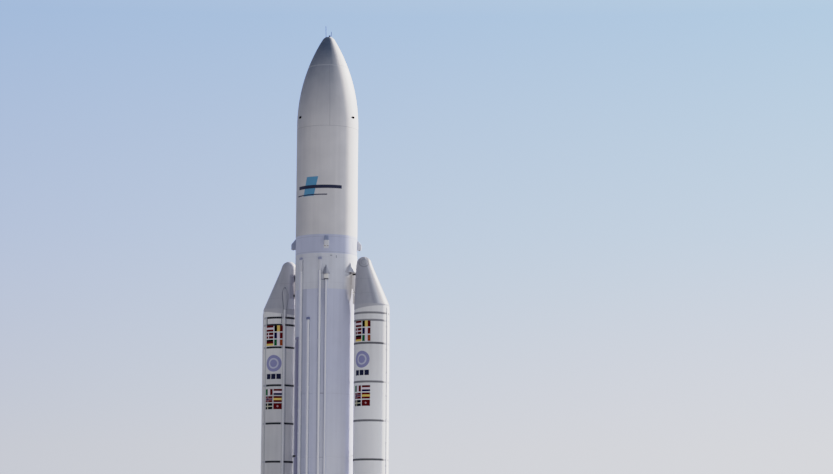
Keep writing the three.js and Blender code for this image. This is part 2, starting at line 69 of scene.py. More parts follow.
# Light. A low sun behind the launcher on its right lights a strip of each round body, and a sky that is pale on the
# sun's side fills the shaded side that faces the camera. The floor is plain, and palest round the launcher. As on
# film, light that is stronger than the film's middle grey is held back more and more.
def linear(colour):
    """sRGB values of 0 to 255 as linear light: each channel is raised by the sRGB curve."""
    share = np.asarray(colour, float) / 255
    return np.where(share > 0.04045, ((share + 0.055) / 1.055) ** 2.4, share / 12.92)


class Shade:
    """A socket of a node tree. Sums, products, quotients and comparisons of shades and numbers add Math nodes."""

    def __init__(self, tree, socket=None):
        self.tree, self.socket = tree, socket

    def node(self, kind, settings=(), output=0, **inputs):
        """A new node of this kind: its settings first, then its sockets by name, or by number after the letter i."""
        made = self.tree.nodes.new("ShaderNode" + kind)
        for name, value in dict(settings).items():
            if name == "stops":
                ramp = made.color_ramp.elements
                while len(ramp) < len(value):
                    ramp.new(1.0)
                for stop, (place, colour) in zip(ramp, value):
                    stop.position, stop.color = place, (*colour, 1.0)
            else:
                setattr(made, name, value)
        for name, value in inputs.items():
            known = name[0] == "i" and name[1:].isdigit()
            socket = made.inputs[int(name[1:])] if known else made.inputs[name.replace("_", " ")]
            if isinstance(value, Shade):
                self.tree.links.new(value.socket, socket)
            else:
                socket.default_value = value
        return Shade(self.tree, made.outputs[output])

    def math(self, operation, other=0.0, first=None):
        return self.node("Math", {"operation": operation}, i0=self if first is None else first, i1=other)

    def vector(self, operation, other=(0, 0, 0), output=0):
        return self.node("VectorMath", {"operation": operation}, output, i0=self, i1=other)

    def __add__(self, other): return self.math("ADD", other)
    def __sub__(self, other): return self.math("SUBTRACT", other)
    def __mul__(self, other): return self.math("MULTIPLY", other)
    def __truediv__(self, other): return self.math("DIVIDE", other)
    def __lt__(self, other): return self.math("LESS_THAN", other)
    def __gt__(self, other): return self.math("GREATER_THAN", other)
    def __rsub__(self, other): return self.math("SUBTRACT", self, first=other)
    __radd__, __rmul__ = __add__, __mul__

    def clamped(self):
        return self.math("MINIMUM", 1.0).math("MAXIMUM", 0.0)

    def ramp(self, start, end):
        """0 up to start and 1 from end on, or the other way round where end is the smaller one."""
        return ((self - start) / (end - start)).clamped()

    def peak(self, middle, reach):
        """1 at the middle, which falls evenly to 0 at this reach from it."""
        return (1.0 - (self - middle).math("ABSOLUTE") / reach).clamped()

    def near(self, value, reach):
        """1 where this is within reach of a value, and 0 elsewhere."""
        return (self - value).math("ABSOLUTE") < reach

    def between(self, low, high):
        return (self > low) * (self < high)

    def mixed(self, low, high):
        """A colour that goes from low, where this is 0, to high, where it is 1."""
        ends = [end if isinstance(end, Shade) else (*end, 1.0) for end in (low, high)]
        return self.node("Mix", {"data_type": "RGBA"}, output=2, i0=self, i6=ends[0], i7=ends[1])


def union(masks):
    """The largest of several masks."""
    largest = masks[0]
    for mask in masks[1:]:
        largest = largest.math("MAXIMUM", mask)
    return largest


def paint_tree(material):
    """Turns nodes on: the tree as a shade without a socket, and the shader's sockets."""
    material.use_nodes = True
    return Shade(material.node_tree), material.node_tree.nodes["Principled BSDF"].inputs


world = bpy.data.worlds.new("sky")
world.use_nodes = True
scene.world = world
LIGHT_RANGE = 2.0  # the light that the film curve's right end stands for
# Shares of that range and what each shows as, and what the right end shows as.
FILM_CURVE, FILM_END = [(0.2, 0.4), (0.3, 0.54), (0.4, 0.65), (0.6, 0.74)], 0.82
film = scene.view_settings
film.view_transform = "Standard"
film.use_curve_mapping = True
film.curve_mapping.white_level = (LIGHT_RANGE,) * 3
film_points = film.curve_mapping.curves[3].points
film_points[1].location = (1.0, FILM_END)
for place, shown in FILM_CURVE:
    film_points.new(place, shown)
film.curve_mapping.update()

SUN_AZIMUTH, SUN_ELEVATION, SUN_STRENGTH, SUN_SIZE, SUN_COLOUR = 155.0, 26.0, 7.5, 1.4, (1.0, 0.92, 0.83)
FAR_SKY = (0.10, 0.13, 0.22)  # away from the sun
NEAR_SKY = [(0.0, (0.7, 0.7, 0.7)), (0.49, (0.90, 0.89, 0.89)), (0.500, (1.02, 1.02, 1.04)),
            (0.53, (1.02, 1.02, 1.07)), (0.574, (0.72, 0.89, 1.38)), (0.617, (0.50, 0.76, 1.44)),
            (0.70, (1.45, 1.48, 1.45)), (1.0, (1.2, 1.25, 1.25))]
sky = Shade(world.node_tree)
direction = sky.node("TexCoord", output="Generated")
rising = sky.node("SeparateXYZ", output=2, Vector=direction)
dome = sky.node("ValToRGB", {"stops": NEAR_SKY}, Fac=rising * 0.5 + 0.5)
towards = direction.vector("DOT_PRODUCT", tuple(level(SUN_AZIMUTH)), output=1)
side = towards * 0.5 + 0.5
lit = sky.node("VectorMath", {"operation": "SCALE"}, i0=dome, Scale=side * side)
glow = lit.vector("ADD", FAR_SKY)
world.node_tree.links.new(glow.socket, world.node_tree.nodes["Background"].inputs["Color"])

sun_data = bpy.data.lights.new("sun", "SUN")
sun_data.energy, sun_data.angle, sun_data.color = SUN_STRENGTH, math.radians(SUN_SIZE), SUN_COLOUR
sun = bpy.data.objects.new("sun", sun_data)
sun.rotation_mode = "QUATERNION"
raised = math.radians(SUN_ELEVATION)
to_sun = Vector(level(SUN_AZIMUTH) * math.cos(raised) + (0, 0, math.sin(raised)))
sun.rotation_quaternion = to_sun.to_track_quat("Z", "Y")
scene.collection.objects.link(sun)

FLOOR_REACH, PALE_REACH, FADE_REACH, FLOOR_ROUGH = 900.0, 22.0, 60.0, 0.9
FLOOR_TONES, FLOOR_FAR = ((184, 182, 178), (196, 194, 190)), (146, 146, 146)
floor_mesh = bpy.data.meshes.new("floor")
floor_mesh.from_pydata(np.array([[-1, -1, 0], [1, -1, 0], [1, 1, 0], [-1, 1, 0]]) * FLOOR_REACH, [], [(0, 1, 2, 3)])
floor = bpy.data.objects.new("floor", floor_mesh)
floor_paint = bpy.data.materials.new("floor")
ground, floor_sockets = paint_tree(floor_paint)
floor_place = ground.node("TexCoord", output="Object")
blotch = ground.node("TexNoise", Vector=floor_place, Scale=0.05, Detail=5.0)
distance = floor_place.vector("LENGTH", output=1)
pale = blotch.mixed(*(linear(tone) for tone in FLOOR_TONES))
floor_colour = distance.ramp(PALE_REACH, FADE_REACH).mixed(pale, linear(FLOOR_FAR))
floor_paint.node_tree.links.new(floor_colour.socket, floor_sockets["Base Color"])
floor_sockets["Roughness"].default_value = FLOOR_ROUGH
floor_mesh.materials.append(floor_paint)
scene.collection.objects.link(floor)


# Core tank. Aluminium rings welded end to end and sprayed with a pale lavender coat over foam; shallow grooves
# show where the rings meet. Everything else on the core is fixed to this wall.
CORE_RADIUS, TANK_BOTTOM, TANK_TOP, SKIRT_TOP, BAY_TOP = 2.70, 7.20, 28.74, 31.86, 33.50
TANK_SEAMS, TANK_JOINTS = (14.15, 19.65), (10.9, 14.15, 19.65)
ROUND = 192  # faces round a large body


def around(radius, angle, height, centre=(0.0, 0.0), chart_radius=CORE_RADIUS):
    """A sheet round an upright axis, at angle a (r sin a, -r cos a, z). Its chart holds arc length and height."""
    radius, angle, height = np.broadcast_arrays(radius, angle, height)
    points = [centre[0] + radius * np.sin(angle), centre[1] - radius * np.cos(angle), height]
    return np.stack(points, -1), np.stack([angle * chart_radius, height], -1)


def lathe(profile, start=0.0, sweep=360.0, turns=ROUND, centre=(0.0, 0.0)):
    """A profile of radius and height turned round an upright axis, charted at its widest radius."""
    r, z = np.asarray(profile, float).T[..., None]
    return around(r, np.radians(start + np.linspace(0, sweep, turns + 1)), z, centre, r.max())


def grooved(radius, bottom, top, seams, depth, half):
    """Profile of a closed drum whose wall has V grooves at the seams."""
    wall = [(radius, bottom)]
    for seam in seams:
        wall += [(radius, seam - half), (radius - depth, seam), (radius, seam + half)]
    return [(0, bottom), *wall, (radius, top), (0, top)]


def skin(name, sheets, materials, body, nodes=(), colours=None, sharp=30.0, weld=2e-5):
    """One object from sheets of full-size points, rows x columns x 3. Four neighbours on a sheet make a face, what
    meets is welded, and faces are turned outwards. A third entry of a sheet is the number of its material."""
    points, chart, faces, finish, start = [], [], [], [], 0
    for sheet in sheets:
        rows, columns = sheet[0].shape[:2]
        corner = start + np.arange(rows * columns).reshape(rows, columns)
        quads = np.stack([corner[:-1, :-1], corner[:-1, 1:], corner[1:, 1:], corner[1:, :-1]], -1).reshape(-1, 4)
        points.append(sheet[0].reshape(-1, 3))
        chart.append(sheet[1].reshape(-1, 2))
        faces.append(quads)
        finish.append(np.full(len(quads), sheet[2] if len(sheet) > 2 else 0))
        start += rows * columns
    points, chart, faces, finish = (np.concatenate(part) for part in (points, chart, faces, finish))
    mesh = bpy.data.meshes.new(name)
    mesh.from_pydata(points * M, [], faces)
    mesh.uv_layers.new(name="chart").data.foreach_set("uv", chart[faces.ravel()].astype(np.float32).ravel())
    if colours is not None:
        tint = np.concatenate([np.repeat(colours, 4, axis=0), np.ones((len(faces) * 4, 1))], 1)
        shades = mesh.attributes.new("tint", "FLOAT_COLOR", "CORNER")
        shades.data.foreach_set("color", tint.astype(np.float32).ravel())
    mesh.polygons.foreach_set("material_index", finish.astype(np.int32))
    shell = bmesh.new()
    shell.from_mesh(mesh)
    bmesh.ops.remove_doubles(shell, verts=shell.verts, dist=weld)
    bmesh.ops.recalc_face_normals(shell, faces=shell.faces)
    shell.to_mesh(mesh)
    shell.free()
    mesh.shade_smooth()
    mesh.set_sharp_from_angle(angle=math.radians(sharp))
    for material in materials if isinstance(materials, (list, tuple)) else [materials]:
        mesh.materials.append(material)
    made = bpy.data.objects.new(name, mesh)
    scene.collection.objects.link(made)
    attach(made, body)
    if nodes:
        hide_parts(*nodes)
    return made


def coat(name, colour, rough=0.5, metal=0.0, streaks=0.3, patches=0.3, dirt=(120, 116, 112), grain=0.0015,
         gloss=0.3, marks=None):
    """A finish with broad patches, streaks that run down it, and fine grain. Marks is a function that gets the tree
    and returns pairs of a mask and a colour to lay over the coat."""
    material = bpy.data.materials.new(name)
    tree, sockets = paint_tree(material)
    place = tree.node("TexCoord", output="Object")
    broad = tree.node("TexNoise", Vector=place, Scale=0.9, Detail=5.0)
    runs = tree.node("TexNoise", Vector=tree.node("Mapping", Vector=place, Scale=(7, 7, 0.22)), Scale=1.0, Detail=6.0)
    fine = tree.node("TexNoise", Vector=place, Scale=42.0, Detail=4.0)
    worn = ((broad - 0.42) * (1.5 * patches) + (runs - 0.45) * (1.7 * streaks)).clamped()
    paint = worn.mixed(linear(colour), linear(colour) * 0.45 + linear(dirt) * 0.35)
    for mask, tone in marks(tree) if marks else ():
        paint = mask.mixed(paint, linear(tone))
    bump = tree.node("Bump", Height=fine + broad * 2.0, Distance=grain, Strength=0.4)
    roughness = fine * 0.14 + broad * 0.12 + (rough - 0.13)
    for socket, shade in (("Base Color", paint), ("Roughness", roughness), ("Normal", bump)):
        material.node_tree.links.new(shade.socket, sockets[socket])
    sockets["Metallic"].default_value = metal
    sockets["Specular IOR Level"].default_value = gloss
    return material


def charted(tree):
    """The two directions of the chart: arc length round the body, and height."""
    chart = tree.node("UVMap")
    return tree.node("SeparateXYZ", Vector=chart), tree.node("SeparateXYZ", output=1, Vector=chart)


def placed(tree):
    """Full-size X, Y and Z."""
    place = tree.node("TexCoord", output="Object")
    return [tree.node("SeparateXYZ", output=axis, Vector=place) / M for axis in range(3)]


def arc(azimuth, radius=CORE_RADIUS):
    """Arc length up to an azimuth. A chart that starts at the front needs an azimuth of 0 to 360."""
    return math.radians(azimuth) * radius


def toward(tree, azimuth):
    """How much the core's wall faces an azimuth: the cosine of the angle between them."""
    flat = tree.node("TexCoord", output="Object").vector("MULTIPLY", (1, 1, 0))
    return flat.vector("NORMALIZE").vector("DOT_PRODUCT", tuple(level(azimuth)), output=1)


def joints(heights, width=0.03, colour=(110, 112, 124), strength=0.55, pitch=None):
    """Marks for coat: thin dark lines at these heights of the chart, and upright ones a pitch apart."""
    def marks(tree):
        across, up = charted(tree)
        lines = [up.near(height, width / 2) for height in heights]
        if pitch:
            lines.append((across / pitch + 0.5).math("FRACT").near(0.5, width / 3 / pitch))
        return [(union(lines) * strength, colour)]
    return marks


# Painted shade: a grey-blue film darkens the side of the core's walls that faces this azimuth.
SIDE_SHADE_AZIMUTH, SIDE_SHADE_GREY = -60.5, (92, 102, 126)


def painted_side_shade(tree, strength):
    """Painted shade on the side of the wall that faces the azimuth above: a thin grey-blue film that fades out to
    both sides.
    """
    return toward(tree, SIDE_SHADE_AZIMUTH).ramp(0.5, 1.0) * strength, SIDE_SHADE_GREY


# Where the ducts run up the wall: azimuth, half width and top of each, with the vent line last.
WALL_LINES = [(-34.0, 0.225, 24.6), (-22.6, 0.17, 31.3), (-4.1, 0.11, 26.2), (17.9, 0.11, 31.3),
              (28.6, 0.05, 30.6)]
GLINT_AZIMUTH = -20.3  # of the pale strip of wall beside the second duct
# Azimuth of the painted shadow and shade left of the vent line, where the straps are and how far they reach, and one
# grey for the straps and for painted shade.
VENT_SHADE_AZIMUTH, STRAP_AZIMUTH, STRAP_REACH, STRAP_AND_SHADE_GREY = 24.0, 23.8, 0.38, (84, 88, 112)


def screened(across, up):
    """Where the right booster's tip keeps the sun off the wall: first what the sun only grazes, then what it would
    hit, which leaves a lit sliver that widens downwards. The edges are soft."""
    start, turn, end, sliver = arc(66.0), arc(75.0), arc(85.0), arc(88.8)
    grazed = across.ramp(start, start + 0.40) * across.ramp(end, end - 0.12)
    grazed = grazed * up.ramp(30.10, 29.75) * up.ramp(27.7, 28.4)
    turning = across.ramp(turn, turn + 0.35)
    drop = (28.9 - up).math("MAXIMUM", 0.0)
    left = ((arc(87.0) - drop * drop * arc(4.5) - across) / 0.08).clamped() * turning
    struck = union([left, across.ramp(sliver, sliver + 0.07), up.ramp(28.8, 28.9) * turning])
    struck = struck * up.ramp(30.5, 30.38) * up.ramp(27.5, 27.6) * (across < arc(130.0))
    return [(grazed * 0.65, (112, 112, 124)), (struck, (96, 97, 107))]


def wall_marks(heights, straps_at, strength, further):
    """Marks for coat: painted shade on the side at azimuth -60.5, joints, dark lines of painted shade beside each
    duct, a painted shadow and a darker strip of painted shade left of the vent line, the straps that hold it at the
    given heights, a painted glint beside the second duct, and the painted shadow of the right booster's tip. Further
    is a function that returns more marks."""
    def marks(tree):
        across, up = charted(tree)
        # Painted shade: dark lines along both sides of each duct.
        beside = union([across.near(arc(azimuth % 360), half + 0.065) * (up < top)
                        for azimuth, half, top in WALL_LINES])
        # Painted shadow and a darker strip of painted shade left of the vent line.
        vent_shadow = across.peak(arc(VENT_SHADE_AZIMUTH), 0.22) * up.ramp(31.0, 30.2) * up.ramp(26.0, 28.0)
        vent_shade_strip = across.near(arc(VENT_SHADE_AZIMUTH), 0.09) * (up < 29.6)
        straps = union([up.near(height, 0.035) for height in straps_at])
        straps = straps * across.near(arc(STRAP_AZIMUTH), STRAP_REACH)
        glint = across.near(arc(GLINT_AZIMUTH % 360), 0.045) * (up < 30.4)
        return [painted_side_shade(tree, 0.25), *joints(heights, width=0.035, strength=strength)(tree), (vent_shadow * 0.3, STRAP_AND_SHADE_GREY),
                (vent_shade_strip * 0.22, STRAP_AND_SHADE_GREY), (beside * 0.5, STRAP_AND_SHADE_GREY), (straps * 0.6, STRAP_AND_SHADE_GREY), (glint * 0.7, (240, 240, 244)),
                *screened(across, up), *further(across, up)]
    return marks


def tank_marks(across, up):
    """Painted light lightens the lower tank between the vent line and the right booster; a pale sliver runs beside
    the first duct, and painted shade darkens the wall between the second duct and the third."""
    front, side, sliver, shade_patch = (arc(azimuth % 360) for azimuth in (5, 75, -51, -14.5))
    painted_light = up.ramp(22.0, 14.0) * across.ramp(front, front + 1.2) * across.ramp(side, side - 0.3)
    return [(painted_light * 0.5, (240, 240, 241)), (across.near(sliver, 0.45) * 0.5, (226, 226, 240)),
            (across.near(shade_patch, 0.28) * 0.2, STRAP_AND_SHADE_GREY)]


tank_coat = coat("lavender_tank_coat", (214, 218, 238), rough=0.55, streaks=0.35, dirt=(140, 144, 168),
                 marks=wall_marks(TANK_JOINTS, TANK_JOINTS, 0.14, tank_marks))
skin("tank_shell", [lathe(grooved(CORE_RADIUS, TANK_BOTTOM, TANK_TOP, TANK_SEAMS, 0.02, 0.025))],
     tank_coat, "launcher", ["main_tank"])


# Forward skirt and equipment bay. Stiffened aluminium drums above the tank, the skirt white and the bay lavender,
# riveted to each other; small access hatches and dark vents stand a few millimetres proud of them.
def superellipse(steps, power):
    """Cosines and sines of even angles round a circle, squared off by raising them to 2/power."""
    t = np.linspace(0, 2 * np.pi, steps + 1)
    return [np.sign(f(t)) * np.abs(f(t)) ** (2 / power) for f in (np.cos, np.sin)]


def boss(azimuth, height, width, tall, rise, radius=CORE_RADIUS, power=2.0, depth=0.01, steps=32, rings=4,
         centre=(0.0, 0.0)):
    """A closed patch on a round wall: a superellipse this wide and tall, from depth inside the wall to rise outside
    it. Its rows run out along the back, over the edge and in again to the middle of the front."""
    across, up = superellipse(steps, power)
    share = np.concatenate([np.linspace(0, 1, rings), [1], np.linspace(1, 0, rings)])
    lift = np.concatenate([np.full(rings, -depth), np.full(rings + 1, rise)])
    angle = math.radians(azimuth) + np.outer(share, across * width / 2) / radius
    return around(radius + lift[:, None], angle, height + np.outer(share, up * tall / 2), centre, radius)


def hatches(places, rise=0.012):
    """Flat square-cornered covers, each with its azimuth, height, width and tallness."""
    return [boss(*place, rise, power=8.0) for place in places]


def skirt_marks(across, up):
    """Painted shade: a dark line as the shadow under the right booster's link, and darker wedges by its hood and the
    vent's hood.
    """
    under_link = across.near(arc(84.2), 0.05) * up.between(29.2, 30.1)
    link_wedge = ((across - arc(79.0)).math("ABSOLUTE") < (31.22 - up) * 0.62) * (up > 30.22)
    vent_wedge = ((across - arc(28.8)).math("ABSOLUTE") < (30.85 - up) * 0.44) * (up > 30.02)
    return [(under_link * 0.8, (60, 60, 72)), (link_wedge * 0.4, (120, 116, 128)), (vent_wedge * 0.45, (96, 98, 112))]


def blister(azimuth, base, top, radius, steps=24, rows=9):
    """Half of a cone on the core's wall: its radius shrinks evenly from the base to a point at the top."""
    t = np.radians(np.linspace(0, 360, steps + 1))
    share = np.linspace(0, 1, rows)
    size = radius * np.concatenate([[0, 1], 1 - share])
    angle = math.radians(azimuth) + np.outer(size, np.sin(t)) / CORE_RADIUS
    out = CORE_RADIUS + np.outer(size, np.maximum(-np.cos(t), -0.1))
    height = base + (top - base) * np.concatenate([[0, 0], share])
    points, _ = around(out, angle, height[:, None])
    return points, points[..., :2]


SKIRT_WHITE, SKIRT_SEAM, SKIRT_HATCHES = (228, 230, 238), 30.35, [
    (-12, 30.9, 0.55, 0.42), (42, 31.0, 0.40, 0.40), (70, 30.4, 0.55, 0.42), (110, 30.9, 0.55, 0.42),
    (150, 31.0, 0.40, 0.40), (200, 30.9, 0.55, 0.42), (250, 30.6, 0.40, 0.40), (300, 30.9, 0.55, 0.42)]
SKIRT_VENTS = [(38.5, 31.64, 0.20, 0.07), (48.3, 31.54, 0.06, 0.26), (212.6, 31.60, 0.20, 0.07),
               (222.6, 31.42, 0.06, 0.26)]
BLISTER_AZIMUTH, BLISTER_BASE, BLISTER_TOP, BLISTER_RADIUS = 81.4, 30.29, 31.18, 0.33
skirt_coat = coat("white_skirt_coat", SKIRT_WHITE, streaks=0.35, patches=0.35)
skirt_wall_coat = coat("white_skirt_wall_coat", SKIRT_WHITE, streaks=0.35, patches=0.35,
                       marks=wall_marks((29.3, 31.5), (29.53,), 0.1, skirt_marks))
vent_grey = coat("vent_grey", (150, 152, 164))
dark_fitting = coat("dark_fitting", (52, 56, 70), dirt=(90, 90, 96))
vents = [(*boss(*place, 0.02, power=3.0), 1) for place in SKIRT_VENTS]
blisters = [blister(BLISTER_AZIMUTH + turn, BLISTER_BASE, BLISTER_TOP, BLISTER_RADIUS) for turn in (0, 180)]
skirt = lathe(grooved(CORE_RADIUS, TANK_TOP, SKIRT_TOP, (SKIRT_SEAM,), 0.012, 0.02))
skin("skirt_shell", [skirt, *hatches(SKIRT_HATCHES), *vents, *blisters], [skirt_wall_coat, vent_grey],
     "launcher", ["forward_skirt"])

BAY_HATCH, BAY_HATCH_AZIMUTHS = (32.7, 0.62, 0.72), (-10, 62, 95, 150, 180, 240, 270, 330)
FRONT_PLATE = (29.5, 32.36, 0.42, 0.22)
bay_coat = coat("lavender_bay_coat", (200, 205, 228), dirt=(132, 138, 170),
                marks=joints((31.96, 33.3), strength=0.35))
bay_hatches = hatches([(azimuth, *BAY_HATCH) for azimuth in BAY_HATCH_AZIMUTHS])
skin("bay_shell", [lathe(grooved(CORE_RADIUS, SKIRT_TOP, BAY_TOP, (), 0.0, 0.0)), *bay_hatches,
                   (*hatches([FRONT_PLATE])[0], 1)],
     [bay_coat, skirt_coat], "launcher", ["equipment_bay"])


# Thruster pods. Four sheet-metal boxes bolted to the bay, sloping and dark above, with a flat bright face and two
# small steering nozzles that point down out of each. The pod away from the sun is grey all over, as painted shade,
# and the pod on the sun's side white all over, as painted light.
POD_AZIMUTHS = (29.5, 119.5, 209.5, 299.5)
POD_WIDTH, POD_BOTTOM, POD_KNEE, POD_TOP, POD_REACH, POD_FOOT = 0.46, 32.45, 32.92, 33.36, 0.38, 0.12
JET_SPREAD, JET_OUT, JET_TOP, JET_LENGTH, JET_SMALL, JET_LARGE = 0.12, 0.20, 0.13, 0.15, 0.03, 0.065


def capped(levels):
    """The columns of levels as arrays, with both ends repeated, and a size that closes those ends to a point."""
    columns = np.asarray([levels[0], *levels, levels[-1]], float).T
    size = np.ones_like(columns[0])
    size[[0, -1]] = 0
    return *columns, size


def box_sheet(azimuth, levels):
    """A closed hood on the core's wall. A level is (height, width, reach): its outline is a superellipse of that
    width whose outer side stands reach off the wall and whose inner side lies inside it."""
    off, along = superellipse(32, 6.0)
    height, width, reach, size = capped(levels)
    x = np.outer(size * width / 2, along)
    y = CORE_RADIUS + (reach - POD_FOOT)[:, None] / 2 + np.outer(size * (reach + POD_FOOT) / 2, off)
    z = np.outer(height, np.ones_like(along))
    turn = math.radians(azimuth)
    points = np.stack([x * math.cos(turn) + y * math.sin(turn), x * math.sin(turn) - y * math.cos(turn), z], -1)
    return points, np.stack([x, z], -1)


def circles(base, way, places, sizes, steps):
    """Circles round a line from a base point along a way, each at its place along the line and of its own radius."""
    way = np.asarray(way, float) / np.linalg.norm(way)
    side = np.cross(way, (0.31, 0.52, 0.79))
    side /= np.linalg.norm(side)
    t = np.radians(np.linspace(0, 360, steps + 1))
    ring = np.cos(t)[:, None] * side + np.sin(t)[:, None] * np.cross(way, side)
    places, sizes = np.asarray(places, float), np.asarray(sizes, float)
    points = np.asarray(base, float) + places[:, None, None] * way + sizes[:, None, None] * ring
    return points, np.stack([np.outer(np.ones_like(places), t * sizes.max()), np.outer(places, np.ones_like(t))], -1)


def jet_sheet(base):
    """A small open bell that points down: rings down its outside and back up inside it."""
    grown = JET_LARGE - JET_SMALL
    outside = [0, JET_SMALL, JET_SMALL + grown * 0.7, JET_LARGE]
    inside = [JET_LARGE * 0.9, JET_SMALL + grown * 0.55, JET_SMALL * 0.6, 0]
    share = np.array([0, 0, 0.35, 1, 1, 0.35, 0.1, 0.1])
    return circles(base, (0, 0, -1), share * JET_LENGTH, outside + inside, 20)


pod_coat = coat("white_pod_coat", (226, 226, 230), streaks=0.4)
pod_slope = coat("grey_pod_slope_and_shade", (158, 166, 190), patches=0.4, dirt=(90, 92, 110))
nozzle_steel = coat("nozzle_steel", (120, 112, 106), rough=0.35, metal=0.9, patches=0.5)
# Hood and slope finish of each pod: the second is white all over as painted light, the fourth grey all over as
# painted shade.
POD_FINISHES = ((pod_coat, pod_slope), (pod_coat, pod_coat), (pod_coat, pod_slope), (pod_slope, pod_slope))
for number, azimuth in enumerate(POD_AZIMUTHS, 1):
    knee = (POD_KNEE, POD_WIDTH, POD_REACH)
    hood = box_sheet(azimuth, [(POD_BOTTOM + 0.01, POD_WIDTH - 0.04, POD_REACH - 0.02),
                               (POD_BOTTOM + 0.03, POD_WIDTH, POD_REACH), knee])
    slope = box_sheet(azimuth, [knee, (POD_KNEE + 0.02, POD_WIDTH - 0.01, POD_REACH - 0.02),
                                (POD_TOP, POD_WIDTH * 0.72, 0.02)])
    jet_root = level(azimuth) * (CORE_RADIUS + JET_OUT) + (0, 0, POD_BOTTOM + JET_TOP)
    jets = [(*jet_sheet(jet_root + level(azimuth + 90) * shift), 2) for shift in (-JET_SPREAD, JET_SPREAD)]
    skin(f"thruster_pod_{number}_box", [hood, (*slope, 1), *jets], [*POD_FINISHES[number - 1], nozzle_steel],
         "launcher", [f"thruster_pod_{number}"])


# Payload fairing. Two carbon-fibre sandwich half shells, painted white inside and outside, joined by a seam from the
# bay to the tip. A grey film of painted shade covers the side that the sun doesn't reach, most of all near the tip.
FAIRING_WALL, OGIVE_START, ARC_RADIUS, ARC_END = 0.07, 43.50, 15.20, 31.0
SPLIT_AZIMUTH, BASE_RING, RING_DEPTH, SEAT = 33.5, 0.30, 0.14, 0.0006
FAIRING_SEAMS, SEAM_DEPTH, SEAM_HALF, SEAM_HALF_ANGLE = (43.10, 48.75), 0.014, 0.02, 0.08
PORT_AZIMUTHS, PORT_HEIGHT, PORT_SIZE = (-34.0, 86.0, 206.0), 44.06, (0.46, 0.20)


def rounded(radius, centre, start, count):
    """Radius and height of points up a round tip, from after its start angle to its very top."""
    angles = np.linspace(start, math.pi / 2, count)[1:-1]
    return [(radius * math.cos(a), centre + radius * math.sin(a)) for a in angles] + [(0.0, centre + radius)]


def fairing_profile(inset=0.0, groove=0.0):
    """Radius and height up the shell at an inset: a cylinder, one arc that leaves it tangentially, and a round tip.
    The seams are cut in as grooves."""
    base, low, straight = BAY_TOP + SEAT, FAIRING_SEAMS[0], CORE_RADIUS - inset
    heights = (base, base + BASE_RING, base + BASE_RING, 36.0, 40.0, low - SEAM_HALF, low, low + SEAM_HALF)
    wall = [(straight - (groove if z == low else 0), z) for z in heights]
    seam_angle = math.degrees(math.asin((FAIRING_SEAMS[1] - OGIVE_START) / ARC_RADIUS))
    angles = [*np.linspace(0, ARC_END, 32), seam_angle - SEAM_HALF_ANGLE, seam_angle, seam_angle + SEAM_HALF_ANGLE]
    for angle in sorted(angles):
        a, arc_radius = math.radians(angle), ARC_RADIUS - inset
        wall.append((straight - arc_radius * (1 - math.cos(a)) - (groove if angle == seam_angle else 0),
                     OGIVE_START + arc_radius * math.sin(a)))
    end = math.radians(ARC_END)
    end_radius = CORE_RADIUS - ARC_RADIUS * (1 - math.cos(end))
    tip_centre = OGIVE_START + ARC_RADIUS * math.sin(end) - end_radius * math.tan(end)
    return np.array(wall + rounded(end_radius / math.cos(end) - inset, tip_centre, end, 13))


def slab(outer, inner):
    """A closed sheet between two sheets of one shape: round the outer, back along the inner, shut at both ends."""
    ring = [np.concatenate([o, i[:, ::-1], o[:, :1]], 1) for o, i in zip(outer, inner)]
    middle = [(o + i) / 2 for o, i in zip(outer, inner)]
    ends = [np.concatenate([m, m[:, ::-1], m[:, :1]], 1) for m in middle]
    return [np.concatenate([e[:1], r, e[-1:]], 0) for r, e in zip(ring, ends)]


def fairing_marks(tree):
    """Painted shade: a grey-blue film on the side at azimuth -60.5 and a grey film on the side away from the sun,
    densest near the tip. Then seams, the dark strip along the split, and a plain painted mark. They are placed by
    azimuth and height alone, so they show on the inside of the shell too."""
    across, up = charted(tree)
    place = tree.node("TexCoord", output="Object")
    mottle = tree.node("TexNoise", Vector=place, Scale=1.6, Detail=8.0, Roughness=0.65)
    rise = up.ramp(41.5, 50.8)
    # Painted shade: a grey film on the side away from the sun, densest near the tip.
    shaded = (toward(tree, SUN_AZIMUTH + 180) * 2.0 + 0.15).clamped()
    film = (rise * (0.5 + rise * 0.5) * shaded * (0.80 + mottle * 0.35)).clamped()
    azimuth = across * (180 / math.pi / CORE_RADIUS)
    split = union([azimuth.near(SPLIT_AZIMUTH + turn, 0.55) for turn in (0, -180, 180)])
    ogive = up.between(*FAIRING_SEAMS)
    bars = union([azimuth.near(12.0, 46.0) * up.near(37.70, 0.15), azimuth.near(-4.0, 34.0) * up.near(37.00, 0.05)])
    slanted = (azimuth - (up - 37.6) * 5.0).near(-4.0, 12.0) * up.near(37.75, 0.85)
    return [painted_side_shade(tree, 0.42), (film, (66, 84, 108)), (split * (0.03 + ogive * 0.26), (96, 98, 112)),
            (up.near(FAIRING_SEAMS[0], 0.025) * 0.28, (96, 98, 112)),
            (up.near(FAIRING_SEAMS[1] - 0.03, 0.05) * 0.25, (226, 226, 228)), (slanted, (92, 156, 196)),
            (bars, (34, 40, 66))]


